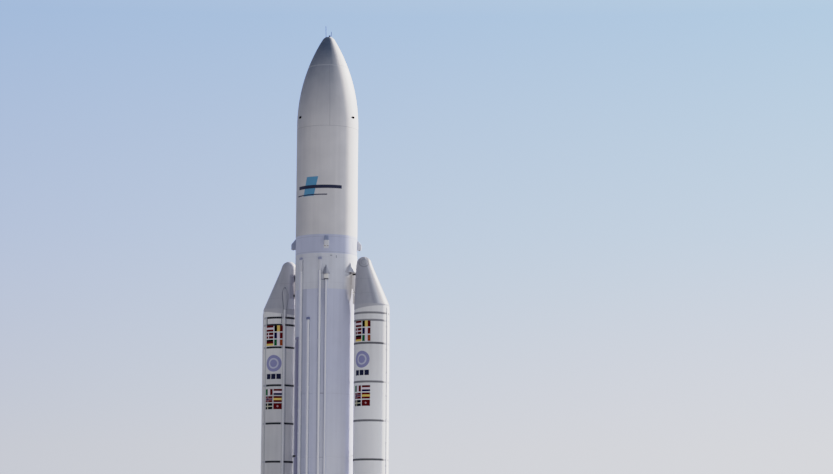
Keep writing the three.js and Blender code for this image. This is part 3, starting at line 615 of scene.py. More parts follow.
fairing_coat = coat("white_fairing_coat", (228, 225, 224), rough=0.55, streaks=0.22, patches=0.45,
                    dirt=(128, 128, 134), marks=fairing_marks)
port_black = coat("port_black", (8, 8, 10), rough=0.8, streaks=0.1, patches=0.1, dirt=(20, 20, 22), gloss=0.0)
for name, start in (("far", SPLIT_AZIMUTH), ("near", SPLIT_AZIMUTH - 180)):
    inner = fairing_profile(FAIRING_WALL)
    inner[:2, 0] = CORE_RADIUS - RING_DEPTH
    profiles = (fairing_profile(groove=SEAM_DEPTH), inner)
    shell = slab(*(lathe(profile, start=start, sweep=180.0, turns=120) for profile in profiles))
    shell[0] = shell[0] + level(start + 90) * SEAT / 2
    ports = [(*boss(azimuth, PORT_HEIGHT, *PORT_SIZE, 0.03, radius=CORE_RADIUS - 0.012, depth=0.02), 1)
             for azimuth in PORT_AZIMUTHS if start < azimuth < start + 180]
    skin(f"fairing_{name}_shell", [shell, *ports], [fairing_coat, port_black], f"fairing_{name}",
         [f"fairing_half_{name}"])


# Payload adapter. A bare aluminium cone on the bay's roof that ends in the ring which a satellite is bolted to.
RING_RADIUS, RING_HEIGHT, NECK_RADIUS, NECK_HEIGHT, FOOT_RADIUS = 1.45, 35.60, 1.35, 35.40, 2.30
bare_metal = coat("bare_aluminium", (168, 170, 176), rough=0.35, metal=0.9, streaks=0.25, patches=0.4,
                  dirt=(96, 96, 100), grain=0.0006)
adapter_profile = [(0, BAY_TOP), (FOOT_RADIUS, BAY_TOP), (FOOT_RADIUS, BAY_TOP + 0.15),
                   (FOOT_RADIUS - 0.06, BAY_TOP + 0.17), (NECK_RADIUS, NECK_HEIGHT), (RING_RADIUS, NECK_HEIGHT),
                   (RING_RADIUS, RING_HEIGHT), (0, RING_HEIGHT)]
skin("payload_adapter_cone", [lathe(adapter_profile, turns=96)], bare_metal, "launcher",
     ["payload_adapter"])


# Lightning finials. Thin dark rods on a knob at the very tip, one long and one short, each on its own fairing half.
def tube(start, end, radius, steps=16, bevel=0.0):
    """A closed straight rod from start to end, a little smaller at a bevelled end."""
    way = np.asarray(end, float) - start
    length = np.linalg.norm(way)
    return circles(start, way, [0, 0, bevel, length - bevel, length, length],
                   [0, radius - bevel, radius, radius, radius - bevel, 0], steps)


FAIRING_TOP = fairing_profile()[-1, 1]
ROD_RADIUS, KNOB_REACH, ROD_REACH, SHORT_ROD, LONG_ROD = 0.022, 0.10, 0.25, 52.10 - FAIRING_TOP, 52.597 - FAIRING_TOP
KNOB = [(0, 0.02), (0.05, 0.02), (0.07, 0.04), (0.07, 0.11), (0.045, 0.14), (0, 0.14)]


def on_tip(reach, above):
    """A place over the fairing's tip, this far out from the split towards the far half."""
    return level(SPLIT_AZIMUTH + 90) * reach + (0, 0, FAIRING_TOP + above)


skin("finial_far_rod", [
    tube(on_tip(KNOB_REACH, -0.10), on_tip(KNOB_REACH, 0.13), 0.035),
    lathe([(radius, FAIRING_TOP + above) for radius, above in KNOB], turns=24, centre=on_tip(KNOB_REACH, 0)),
    tube(on_tip(KNOB_REACH, 0.06), on_tip(ROD_REACH, 0.10), ROD_RADIUS),
    tube(on_tip(ROD_REACH, 0.07), on_tip(ROD_REACH, SHORT_ROD), ROD_RADIUS, bevel=0.006)],
    dark_fitting, "fairing_far", ["finial_far"])
skin("finial_near_rod", [tube(on_tip(-0.21, -0.12), on_tip(-0.24, LONG_ROD), ROD_RADIUS, bevel=0.006),
                         tube(on_tip(-0.216, -0.10), on_tip(-0.219, 0), 0.045, bevel=0.01)],
     dark_fitting, "fairing_near", ["finial_near"])


# Ducts on the core. Folded sheet-metal covers over cable looms and gas lines, strapped to the tank every two metres
# and tapered into the wall at their ends; the two that reach the skirt end in a pale capped joint.
def duct(azimuth, levels, wall=CORE_RADIUS, centre=(0.0, 0.0), lean=None, power=3.2):
    """A closed cover on a wall of one radius, or of a radius that is a function of height. A level is (height, width,
    rise): its outline is half a superellipse that stands rise off the wall and reaches a little into it. Azimuth is
    one number or one for each level, and lean a function that gives the shift along X at a height."""
    across, off = superellipse(24, power)
    height, width, rise, size = capped(levels)
    radius = wall(height) if callable(wall) else np.full_like(height, wall)
    shift = lean(height) if lean else np.zeros_like(height)
    turns = np.radians(np.broadcast_to(azimuth, len(levels)))[np.clip(np.arange(len(height)) - 1, 0, len(levels) - 1)]
    angle = turns[:, None] + np.outer(size * width / 2, across) / radius[:, None]
    out = radius[:, None] + np.where(off > 0, np.outer(size * rise, off), np.outer(size * 0.03, off))
    return around(out, angle, height[:, None], (centre[0] + shift[:, None], centre[1]), radius[:, None])


def strapped(bottom, top, width, rise, pitch=2.0, proud=0.018, strap=0.10, taper=0.3, end=(0.5, 0.15)):
    """Levels of a duct with a raised strap every pitch, and ends that taper to a share of its width and rise."""
    levels = [(bottom, width * end[0], rise * end[1]), (bottom + taper, width, rise)]
    for z in np.arange(bottom + taper + pitch / 2, top - taper - strap, pitch):
        raised = (width + 2 * proud, rise + proud)
        levels += [(z, width, rise), (z + 0.005, *raised), (z + strap, *raised), (z + strap + 0.005, width, rise)]
    return levels + [(top - taper, width, rise), (top, width * end[0], rise * end[1])]


def collar(height, width, rise, shape):
    """Levels of a duct's cap or joint: steps of height from a height, and shares of the duct's width and rise."""
    return [(height + step, width * wider, rise * higher) for step, wider, higher in shape]


DUCT_BOTTOM, DUCTS = 7.0, [(-34.0, 24.54, 0.45, 0.14, 0.50), (-23.5, 31.45, 0.22, 0.16, 0.20),
                           (-4.1, 26.19, 0.22, 0.155, 0.20), (17.9, 31.39, 0.22, 0.16, 0.20)]
CAP_SHAPE = [(-0.13, 1.2, 0.8), (-0.10, 1.5, 0.95), (0.03, 1.5, 0.95), (0.08, 1.2, 0.5)]
ELBOW_SHAPE = [(-1.05, 1.3, 0.7), (-1.0, 1.5, 0.9), (-0.14, 1.5, 0.9), (-0.12, 1.3, 0.7)]
RIDGES = [(-23.5, 0.15), (-4.1, 0.09), (17.9, 0.05)]  # azimuth of a duct, and how far right of it its ridge runs


def duct_marks(tree):
    """A pale ridge down the middle of each duct, and pale elbows at the top of those that reach the skirt."""
    across, up = charted(tree)
    ridge = union([across.near(arc(azimuth) + shift, 0.065) for azimuth, shift in RIDGES])
    return [(ridge, (246, 246, 248)), (up > 30.3, (216, 217, 224))]


duct_coat = coat("pale_duct_coat", (212, 214, 230), marks=duct_marks)
cap_coat = coat("blue_grey_cap", (112, 120, 156), rough=0.55, streaks=0.2, dirt=(90, 94, 118))
shaded_duct_coat = coat("lavender_duct_shade_copy", (136, 136, 164), rough=0.55, dirt=(96, 94, 124))
pale_cap = coat("pale_grey_cap", (160, 164, 190), rough=0.55, streaks=0.2, dirt=(120, 122, 144))
# Body and cap finish of each duct: the first takes a darker copy of the duct paint as painted shade.
DUCT_FINISHES = ((shaded_duct_coat, shaded_duct_coat), (duct_coat, pale_cap), (duct_coat, cap_coat),
                 (duct_coat, pale_cap))
for number, (azimuth, top, width, rise, taper) in enumerate(DUCTS, 1):
    pieces = [duct(azimuth, strapped(DUCT_BOTTOM, top, width, rise, taper=taper)),
              (*duct(azimuth, collar(top, width, rise, CAP_SHAPE)), 1)]
    if top > TANK_TOP:
        pieces.append(duct(azimuth, collar(top, width, rise, ELBOW_SHAPE)))
    skin(f"core_duct_{number}_cover", pieces, DUCT_FINISHES[number - 1], "launcher",
         [f"core_duct_{number}"])


# Vent line. A gas line down the tank that leaves the skirt through a boxed elbow under a pointed, pale hood.
VENT_AZIMUTH, VENT_BOTTOM, VENT_BOX, VENT_HOOD, VENT_TOP = 29.7, 7.0, 29.63, 29.98, 30.80
VENT_SHAPES = {
    "pipe": (2.6, strapped(VENT_BOTTOM, VENT_BOX, 0.22, 0.14, end=(1.0, 1.0))),
    "box": (5.0, [(VENT_BOX - 0.02, 0.36, 0.22), (VENT_BOX, 0.38, 0.24), (VENT_HOOD, 0.38, 0.24),
                  (VENT_HOOD + 0.02, 0.34, 0.2)]),
    "hood": (2.2, [(VENT_HOOD + 0.02, 0.46, 0.26), (VENT_HOOD + 0.04, 0.50, 0.32), (VENT_TOP, 0.05, 0.02)]),
    "joint": (3.2, [(VENT_BOX - 0.10, 0.34, 0.19), (VENT_BOX - 0.095, 0.40, 0.21), (VENT_BOX - 0.05, 0.40, 0.21),
                    (VENT_BOX - 0.045, 0.34, 0.19)])}


def hood_marks(tree):
    """Painted shade: a grey film on the hood, denser on its left face."""
    middle = arc(VENT_AZIMUTH)
    return [(charted(tree)[0].ramp(middle + 0.04, middle - 0.02) * 0.25 + 0.4, (96, 98, 116))]


def vent_marks(tree):
    """A pale ridge down the pipe."""
    return [(charted(tree)[0].near(arc(VENT_AZIMUTH), 0.06), (240, 240, 246))]


box_coat = coat("cream_box_coat", (246, 243, 236), streaks=0.2)
hood_coat = coat("white_hood_coat", (222, 223, 230), marks=hood_marks)
vent_coat = coat("vent_pipe_coat", (204, 207, 226), rough=0.55, streaks=0.4, marks=vent_marks)
VENT_FINISHES = {"pipe": 3, "box": 0, "hood": 1, "joint": 2}
skin("vent_line_cover", [(*duct(VENT_AZIMUTH, levels, power=power), VENT_FINISHES[shape])
                         for shape, (power, levels) in VENT_SHAPES.items()],
     [box_coat, hood_coat, dark_fitting, vent_coat], "launcher", ["vent_line"])


# Base of the core. A thrust frame gathers the engine's push and spreads it into the tank; a shallow heat shield under
# it, quilted in pale foil, leaves a hole for the engine, which swings in a steel gimbal ring.
FRAME_BOTTOM, SHOULDER, WAIST, CONE_RADIUS, CONE_TIP, ENGINE_PIVOT = 5.60, 6.30, 2.55, 0.55, 4.98, 4.75
PIN_RADIUS, RING_INNER, RING_OUTER, RING_HALF, LUG, LUG_HALF, PLAY = 0.035, 0.26, 0.34, 0.05, 0.06, 0.06, 0.03
SHIELD_RIM, SHIELD_HOLE, SHIELD_BOTTOM, SHIELD_DROP, SHIELD_WALL, SHIELD_SEAT = 2.50, 1.30, 4.40, 0.10, 0.06, 0.20


def block(centre, size, bevel=0.008):
    """A closed box with small chamfers: rounded-square rings up its height, pulled in at both ends."""
    t = np.radians(np.arange(0, 361, 45) + 22.5)
    corner = np.stack([np.sign(np.cos(t)), np.sign(np.sin(t))], -1) * (np.asarray(size[:2]) / 2)
    cut = np.where(np.abs(np.cos(t)) > np.abs(np.sin(t)), 1, 0)
    corner[np.arange(9), cut] -= np.sign(corner[np.arange(9), cut]) * bevel
    half, end = size[2] / 2, 1 - 2 * bevel / max(size[:2])
    place = np.array([-half, -half, -half + bevel, half - bevel, half, half])
    flat = np.array([0, end, 1, 1, end, 0])[:, None, None] * corner
    points = np.asarray(centre, float) + np.concatenate([flat, np.broadcast_to(place[:, None, None], (6, 9, 1))], -1)
    return points, points[..., :2]


def lugs(axis, low, high, reach, lug, half, middle=(0.0, 0.0)):
    """Two upright lugs, either side of the middle along X (axis 0) or Y (axis 1)."""
    for side in (-1, 1):
        place, size = np.array([*middle, (low + high) / 2]), [2 * half, 2 * half, abs(high - low)]
        place[axis] += side * reach
        size[axis] = lug
        yield block(place, size)


def gimbal(pivot, inner, outer, half, pin, lug, play, middle=(0.0, 0.0)):
    """A ring with two pins out along X, for the fixed lugs, and two in along Y, for the moving ones."""
    bevel, past_lug = 0.01, 0.02
    shape = [(inner, bevel - half), (inner + bevel, -half), (outer - bevel, -half), (outer, bevel - half),
             (outer, half - bevel), (outer - bevel, half), (inner + bevel, half), (inner, half - bevel),
             (inner, bevel - half)]
    ring = lathe([(radius, pivot + up) for radius, up in shape], turns=64, centre=middle)
    mid, far, close = (inner + outer) / 2, outer + play + lug + past_lug, inner - play - lug - past_lug
    centre = np.array([*middle, pivot])
    pins = [tube(centre + (side * mid, 0, 0), centre + (side * far, 0, 0), pin, bevel=0.005) for side in (1, -1)]
    pins += [tube(centre + (0, side * close, 0), centre + (0, side * mid, 0), pin, bevel=0.005) for side in (1, -1)]
    return [ring, *pins]


foil = coat("pale_quilted_foil", (206, 202, 192), metal=0.1, streaks=0.2, patches=0.6, dirt=(120, 108, 96),
            grain=0.03, marks=joints((5.65, 6.30, 6.9), pitch=0.707, strength=0.5, colour=(120, 112, 100)))
frame_profile = [(0, CONE_TIP), (CONE_RADIUS, CONE_TIP), (1.70, FRAME_BOTTOM), (WAIST, FRAME_BOTTOM),
                 (CORE_RADIUS, SHOULDER), (CORE_RADIUS, TANK_BOTTOM), (0, TANK_BOTTOM)]
frame_lugs = lugs(0, ENGINE_PIVOT - LUG_HALF, CONE_TIP + 0.02, RING_OUTER + PLAY + LUG / 2, LUG, LUG_HALF)
skin("thrust_frame_shell", [lathe(frame_profile, turns=96), *frame_lugs], foil, "launcher",
     ["thrust_frame"])
shield_seat, shield_edge = (SHIELD_RIM - SHIELD_SEAT, FRAME_BOTTOM - SEAT), FRAME_BOTTOM - SHIELD_DROP
shield_profile = [
    shield_seat, (SHIELD_RIM, FRAME_BOTTOM - SEAT), (SHIELD_RIM, shield_edge), (SHIELD_HOLE, SHIELD_BOTTOM),
    (SHIELD_HOLE, SHIELD_BOTTOM + SHIELD_WALL), (SHIELD_RIM - SHIELD_SEAT, shield_edge + SHIELD_WALL), shield_seat]
skin("base_heat_shield_quilt", [lathe(shield_profile, turns=96)], foil, "launcher",
     ["base_heat_shield"])
skin("engine_gimbal", gimbal(ENGINE_PIVOT, RING_INNER, RING_OUTER, RING_HALF, PIN_RADIUS, LUG, PLAY), bare_metal,
     "engine_gimbal", ["engine_gimbal_ring"])


# Main engine. A copper-brown chamber with two turbopumps beside it, hung from the gimbal, over a bell of welded
# cooling tubes that run down it side by side, banded by stiffening rings.
HEAD, HEAD_RADIUS, THROAT, THROAT_RADIUS = 4.50, 0.42, 3.66, 0.24
PUMP_RADIUS, PUMP_REACH, PUMP_BOTTOM, PUMP_TOP = 0.24, 0.60, 3.70, 4.38
PIPE_HEIGHT, PIPE_RADIUS, PIPE_START = 4.10, 0.11, 0.2
BELL_EXIT, BELL_RADIUS, BELL_WALL, FLANGE, BELL_HOOPS, TUBES = 1.30, 1.05, 0.045, 0.34, (0.12, 0.28, 0.48, 0.7), 180


def bell_profile(neck, neck_radius, low, low_radius, wall, crown, steps=18, hoops=(), hoop=0.02):
    """A bell: its radius grows with the square root of the depth below the neck; hoops stand out at shares of it."""
    edges = [at + step for at in hoops for step in (-0.012, -0.011, 0.011, 0.012)]
    share = np.sort(np.concatenate([np.linspace(0, 1, steps + 1) ** 1.4, edges]))
    height = neck + (low - neck) * share
    radius = neck_radius + (low_radius - neck_radius) * np.sqrt(share)
    proud = np.array([hoop if any(abs(s - at) < 0.0115 for at in hoops) else 0.0 for s in share])
    outer = zip(radius + np.minimum(proud, low_radius - radius), height)
    inner = [(r - wall, h - (crown if k == 0 else 0)) for k, (r, h) in enumerate(zip(radius, height))]
    return [(0, neck), *outer, *inner[::-1], (0, neck - crown)]


def tube_marks(tree):
    """Fine upright lines of welded cooling tubes, and a heat tint that deepens towards the exit."""
    across, up = charted(tree)
    line = (across * (TUBES / (2 * math.pi * BELL_RADIUS))).math("FRACT").near(0.5, 0.16)
    return [(up.ramp(THROAT, BELL_EXIT) * 0.75, (86, 74, 72)), (line * 0.35, (40, 34, 30))]


bell_metal = coat("tube_wall_bell", (128, 116, 104), rough=0.38, metal=0.85, streaks=0.4, patches=0.5,
                  dirt=(50, 42, 38), marks=tube_marks)
chamber_metal = coat("brown_chamber_metal", (136, 112, 92), rough=0.35, metal=0.9, patches=0.6, dirt=(60, 50, 44))
pump_profile = [(0, PUMP_BOTTOM), (PUMP_RADIUS * 0.7, PUMP_BOTTOM), (PUMP_RADIUS, PUMP_BOTTOM + 0.08),
                (PUMP_RADIUS, PUMP_BOTTOM + 0.30), (PUMP_RADIUS * 0.8, PUMP_BOTTOM + 0.34),
                (PUMP_RADIUS * 0.8, PUMP_TOP - 0.10), (PUMP_RADIUS * 0.55, PUMP_TOP), (0, PUMP_TOP)]
pumps = []
for side in (1, -1):
    pumps += [lathe(pump_profile, turns=40, centre=(side * PUMP_REACH, 0)),
              tube((side * PIPE_START, 0, PIPE_HEIGHT), (side * PUMP_REACH, 0, PIPE_HEIGHT), PIPE_RADIUS, steps=24)]
chamber_profile = [(0, THROAT), (THROAT_RADIUS + 0.10, THROAT), (THROAT_RADIUS + 0.10, THROAT + 0.08),
                   (THROAT_RADIUS, THROAT + 0.16), (HEAD_RADIUS - 0.03, THROAT + 0.41), (HEAD_RADIUS, THROAT + 0.47),
                   (HEAD_RADIUS, HEAD - 0.05), (HEAD_RADIUS - 0.05, HEAD), (0, HEAD)]
head_lugs = lugs(1, HEAD - 0.02, ENGINE_PIVOT + LUG_HALF, RING_INNER - PLAY - LUG / 2, LUG, LUG_HALF)
skin("engine_chamber_and_pumps", [lathe(chamber_profile, turns=64), *pumps, *head_lugs], chamber_metal,
     "main_engine", ["engine_chamber"])
main_bell = bell_profile(THROAT - SEAT, FLANGE, BELL_EXIT, BELL_RADIUS, BELL_WALL, 0.06, hoops=BELL_HOOPS)
skin("main_nozzle_bell", [lathe(main_bell, turns=96)], bell_metal, "main_engine", ["main_nozzle"])


# Boosters. Two solid-fuel boosters of rolled steel rings, white, pinned end to end at dark field joints, each with a
# nose cone that leans to the core, a flared skirt that it stands on, ducts down it, and a swinging carbon nozzle.
OFFSET, CASE_RADIUS, SKIRT_UP = 4.57, 1.525, 3.95
CONE_START, TIP_CENTRE, TIP_RADIUS, TIP_SHIFT = 27.36, 31.00, 0.65, 0.80
CONE_HEIGHT = TIP_CENTRE - CONE_START
CONE_SLOPE, TIP_SLOPE = (CASE_RADIUS - TIP_RADIUS) / CONE_HEIGHT, TIP_SHIFT / CONE_HEIGHT  # narrower and inwards
BANDS, BAND_HALF, BAND_DEPTH, BAND_EDGE = (7.28, 10.61, 13.94, 17.27, 20.60, 23.93, 25.91, 26.55), 0.05, 0.015, 0.01
# How much paler booster 1's bands are at each height.
BAND_PALENESS = [(26.55, 0.33), (25.91, 0.36), (23.93, 0.15), (20.60, 0.27), (17.27, 0.24), (13.94, 0.13)]
BAND_SHAPE = [(-0.05, -0.09), (0.002, -0.09), (0.006, -0.075), (0.006, 0.075), (0.002, 0.09), (-0.05, 0.09),
              (-0.05, -0.09)]
SKIRT_BASE, SKIRT_FLARE, SKIRT_WALL, FOOT = 1.70, 3.0, 0.08, 0.12
LEDGE = [(0, 3.46), (0.95, 3.46), (1.15, 3.62), (1.40, SKIRT_UP)]
JET_PIVOT, JET_PIN, JET_INNER, JET_OUTER, JET_HALF, JET_LUG, JET_PLAY = 3.20, 0.06, 0.60, 0.70, 0.08, 0.10, 0.04
JET_NECK, JET_NECK_RADIUS, JET_EXIT, JET_RADIUS, JET_WALL = 3.00, 0.50, 0.32, 1.15, 0.06
OUTER_DUCT, INNER_DUCT, SIDE_DUCT = 0.5, 134.9, 45.5  # degrees from the side that faces away from the core
OUTER_SIZE, SIDE_SIZE = (0.22, 0.045), (0.30, 0.08)
DUCT_FOOT, DUCT_END, HOOD_START, HOOD_BASE, HOOD_TOP, HOOD_PIPE = 4.2, 27.2, 26.50, 26.6, 29.2, (0.27, 0.11)
HOOD_HEIGHTS = (26.5, 27.5, 28.3, 28.75, 28.95, 29.1, 29.2)
HOOD_WIDTHS = (0.27, 0.28, 0.46, 0.50, 0.40, 0.22, 0.04)
HOOD_TURNS = (0, 0, -4, -8, -11, -13, -15)  # degrees that the hood leans back at those heights
HOOD_RISE, RIM_DROP, RIM_LIFT, RIM_WIDER, RIM_RISE = 0.12, 0.06, 0.05, 0.09, 0.03
# Height of each link, and the radius of its rod and of its collars.
LINKS = {"upper": (30.16, 0.09, 0.11), "middle": (28.56, 0.06, 0.09), "lower": (14.37, 0.05, 0.08)}
BRACKET_AZIMUTH, MIDDLE_TURN, BRACKET = 90.0, 8, (0.30, 0.20, 0.07)
CLAMP_AZIMUTH, CLAMP_DROP, CLAMP = 53.5, 0.05, (0.50, 0.17, 0.17)
PLATE_HEIGHT, PLATE_START, PLATE_SWEEP = 6.75, -33, 66
PLATE_SHAPE = [(-0.02, -0.25), (0.06, -0.25), (0.06, 0.25), (-0.02, 0.25), (-0.02, -0.25)]
STRUT_LOW, STRUT_RADIUS, STRUT_SEAT, STRUTS = 5.60, 0.09, 0.99, [(-30, -34), (0, 0), (30, 34)]


def cone_radius(height):
    """Radius of the case or the nose cone at a height: even shrinkage up to where the round tip takes over."""
    return CASE_RADIUS - np.maximum(0.0, height - CONE_START) * CONE_SLOPE


def leaning(height):
    """How far the nose cone's middle has moved to the core at a height."""
    return TIP_SLOPE * np.clip(height - CONE_START, 0.0, CONE_HEIGHT)


tip_start = math.atan(CONE_SLOPE)
tip_radius, tip_height = TIP_RADIUS * math.cos(tip_start), TIP_CENTRE + TIP_RADIUS * math.sin(tip_start)
cone_wall = np.linspace((CASE_RADIUS, CONE_START), (tip_radius, tip_height), 14)
cone_profile = np.array([(0, CONE_START), *cone_wall, *rounded(TIP_RADIUS, TIP_CENTRE, tip_start, 14)])
case_profile = [*LEDGE, (CASE_RADIUS, SKIRT_UP)]
for band in BANDS:
    low, high, inside = band - BAND_HALF, band + BAND_HALF, CASE_RADIUS - BAND_DEPTH
    case_profile += [(CASE_RADIUS, low), (inside, low + BAND_EDGE), (inside, high - BAND_EDGE), (CASE_RADIUS, high)]
case_profile += [(CASE_RADIUS, CONE_START), (0, CONE_START)]
skirt_in, case_in = SKIRT_BASE - SKIRT_WALL, CASE_RADIUS - SKIRT_WALL
skirt_profile = [(skirt_in - FOOT / 2, 0), (SKIRT_BASE, 0), (SKIRT_BASE, FOOT), (CASE_RADIUS + 0.02, SKIRT_FLARE),
                 (CASE_RADIUS, SKIRT_UP), (case_in, SKIRT_UP), (case_in, SKIRT_FLARE), (skirt_in, FOOT),
                 (skirt_in - FOOT / 2, 0)]
jet_profile = bell_profile(JET_NECK, JET_NECK_RADIUS, JET_EXIT, JET_RADIUS, JET_WALL, 0.12, hoops=(0.35,))

# Painted marks of the boosters. Six flags above and six below, a plain roundel and three blocks are sprayed on each
# case, all together one skin of paint that stands a hair proud of it.
FLAG_ROWS, FLAG_COLUMNS, FLAG_WIDTH, FLAG_HEIGHT, FLAG_GAP, PAINT = 12, 18, 0.745, 0.53, 0.09, 0.008
FLAG_AZIMUTHS = {1: -4.4, 2: 8.6}  # where the pair of flags is centred, seen from each booster's own axis
RED, WHITE, BLACK, YELLOW, BLUE = (92, 10, 14), (236, 222, 230), (4, 3, 4), (240, 206, 108), (8, 8, 62)
GREEN, ORANGE, ROSE, INK, CREAM = (20, 96, 54), (148, 70, 36), (190, 150, 158), (8, 16, 26), (206, 202, 176)
LAVENDER, PALE_LAVENDER, NAVY = (146, 147, 190), (200, 202, 220), (28, 32, 60)
FLAG_SETS = [  # height of the top, and from there down the left and the right flag of each row
    (25.86, [(("rows", RED, WHITE, RED), ("columns", BLACK, YELLOW, RED)),
             (("offset_cross", RED, WHITE), ("columns", BLUE, WHITE, RED)),
             (("rows", BLACK, RED, YELLOW), ("columns", GREEN, WHITE, ORANGE))]),
    (20.28, [(("columns", GREEN, WHITE, RED), ("rows", RED, WHITE, BLUE)),
             (("offset_cross", RED, BLUE, ROSE), ("rows", RED, YELLOW, RED)),
             (("offset_cross", INK, CREAM), ("cross", RED, ROSE))])]
ROUNDEL_HEIGHT, ROUNDEL_SIZE, ROUNDEL_STEPS, ROUNDEL_RINGS, PALE_RINGS = 22.53, 1.46, 64, 12, (5, 6)
BLOCK_LEFTS, BLOCK_WIDTH, BLOCK_TALL, BLOCK_TOP = (-0.68, -0.20, 0.28), 0.40, 0.46, 21.61


def flag(kind, *colours):
    """A grid of colours, bottom row first: stripes in columns or in rows from the top, or a plain or edged cross."""
    cells = np.zeros((FLAG_ROWS, FLAG_COLUMNS, 3))
    tints = np.array([linear(colour) for colour in colours])
    if kind == "columns":
        cells[:] = tints[np.arange(FLAG_COLUMNS) * len(tints) // FLAG_COLUMNS]
    elif kind == "rows":
        cells[:] = tints[::-1][np.arange(FLAG_ROWS) * len(tints) // FLAG_ROWS][:, None]
    else:
        row, column, reach = FLAG_ROWS // 2, *((FLAG_COLUMNS // 2, 2) if kind == "cross" else (6, FLAG_COLUMNS))
        cells[:] = tints[0]
        for half, tint in ((len(tints) - 1, tints[-1]), (1, tints[1])):
            cells[max(0, row - reach):row + reach, column - half:column + half] = tint
            cells[row - half:row + half, max(0, column - reach):column + reach] = tint
    return cells


def painted(azimuth, middle, left, width, top, tall, cells):
    """A rectangle of paint, placed by height and arc length from the azimuth, and the colour of each of its faces."""
    start, sweep = azimuth + math.degrees(left / CASE_RADIUS), math.degrees(width / CASE_RADIUS)
    up = np.linspace(top - tall, top, len(cells) + 1)
    sheets = [lathe([(CASE_RADIUS + out, z) for z in up], start, sweep, cells.shape[1], middle)
              for out in (PAINT, -PAINT)]
    wide = np.concatenate([cells, cells[:, -1:], cells[:, ::-1], cells[:, :1]], 1)
    return slab(*sheets), np.concatenate([wide[:1], wide, wide[-1:]], 0).reshape(-1, 3)


rectangles = [((column - 1) * (FLAG_WIDTH + FLAG_GAP) + FLAG_GAP / 2, FLAG_WIDTH,
               top - down * (FLAG_HEIGHT + FLAG_GAP), FLAG_HEIGHT, flag(*design))
              for top, rows in FLAG_SETS for down, row in enumerate(rows) for column, design in enumerate(row)]
rectangles += [(left, BLOCK_WIDTH, BLOCK_TOP, BLOCK_TALL, np.tile(linear(NAVY), (2, 8, 1))) for left in BLOCK_LEFTS]
roundel_tints = np.tile(linear(LAVENDER), (2 * ROUNDEL_RINGS, ROUNDEL_STEPS, 1))
for ring in PALE_RINGS:
    roundel_tints[[ring, -1 - ring]] = linear(PALE_LAVENDER)

# Finishes of the boosters. Both are white with a grey cone and black joint bands. Many marks are on one only: painted
# light and shade, since the two are lit differently, and a few real marks such as booster 2's hatch. Booster 1 is the
# right one in the photograph.
CONE_GREY, BAND_BLACK, FILM_DROP, FILM_SLANT, LINE_AND_SHADE_GREY = (182, 182, 188), (34, 35, 41), 0.36, 0.20, (84, 88, 104)
CAP_AZIMUTH, CAP_HEIGHT, CAP_RADIUS, CAP_GREY = 29.5, 31.12, 0.44, (84, 86, 98)


def rightwards(x, y):
    """How far a place lies to the right, seen from the cap's side."""
    return x * math.cos(math.radians(CAP_AZIMUTH)) + y * math.sin(math.radians(CAP_AZIMUTH))


def case_arc(azimuth):
    """Arc length round a booster's case up to an azimuth."""
    return arc(azimuth % 360, CASE_RADIUS)


def band_marks(tree):
    """Booster 2's bands are painted over on the side away from the core and left of its inner duct. Booster 1's are
    paler, each by its own share, and a painted glare lightens them on its lit side."""
    across, up = charted(tree)
    x, gap = placed(tree)[0], case_arc(INNER_DUCT - 90)
    painted_over = across.between(case_arc(300.0), case_arc(341.0)) + across.between(gap - 0.25, gap)
    paler = sum(up.near(height, 0.12) * share for height, share in BAND_PALENESS)
    glare = across.ramp(case_arc(70.0), case_arc(70.0) + 0.2) * (across < case_arc(119.0)) * (up < 26.2)
    return [(painted_over * (x < 0.0), (176, 178, 186)), (paler * (x > 0.0), (216, 216, 220)),
            (glare * (x > 0.0) * 0.75, (204, 204, 208))]


def case_marks(tree):
    """The cone's grey film runs down over the case to a slanted edge, and dark lines of painted shade edge the inner
    duct. Booster 2 has an outlined hatch and painted shade on its lower end, most towards the left, and painted light
    whitens booster 1's lower end."""
    across, up = charted(tree)
    x, y, _ = placed(tree)
    outward_share = (x.math("ABSOLUTE") - OFFSET) / CASE_RADIUS
    film = ((up - (CONE_START - FILM_DROP) - outward_share * FILM_SLANT) / 0.06).clamped()
    hatch = (across.near(case_arc(340.5), 0.07) * up.between(25.96, 26.50)
             + across.near(case_arc(34.6), 0.035) * up.between(26.04, 26.90)) * (x < 0.0)
    beside = union([across.near(case_arc(INNER_DUCT - 90), 0.175) * (x < 0.0),
                    across.near(case_arc(INNER_DUCT + 90), 0.175) * (x > 0.0)])
    edge = across.near(case_arc(334.0), 0.05) * (up < 26.6) * (x < 0.0)
    leftness = (0.5 - rightwards(x + OFFSET, y) * (0.5 / CASE_RADIUS)).clamped()
    # Painted shade low on booster 2, most towards the left, and painted light low on booster 1.
    low = up.ramp(25.0, 19.0) * (x < 0.0) * (leftness * 0.2 + 0.12)
    sunward = up.ramp(24.0, 18.0) * (x > 0.0)
    return [(low, (96, 100, 116)), (sunward * 0.8, (255, 255, 255)), (film, CONE_GREY), (hatch * 0.85, (64, 68, 80)),
            (beside * 0.35, LINE_AND_SHADE_GREY), (edge * 0.5, LINE_AND_SHADE_GREY)]


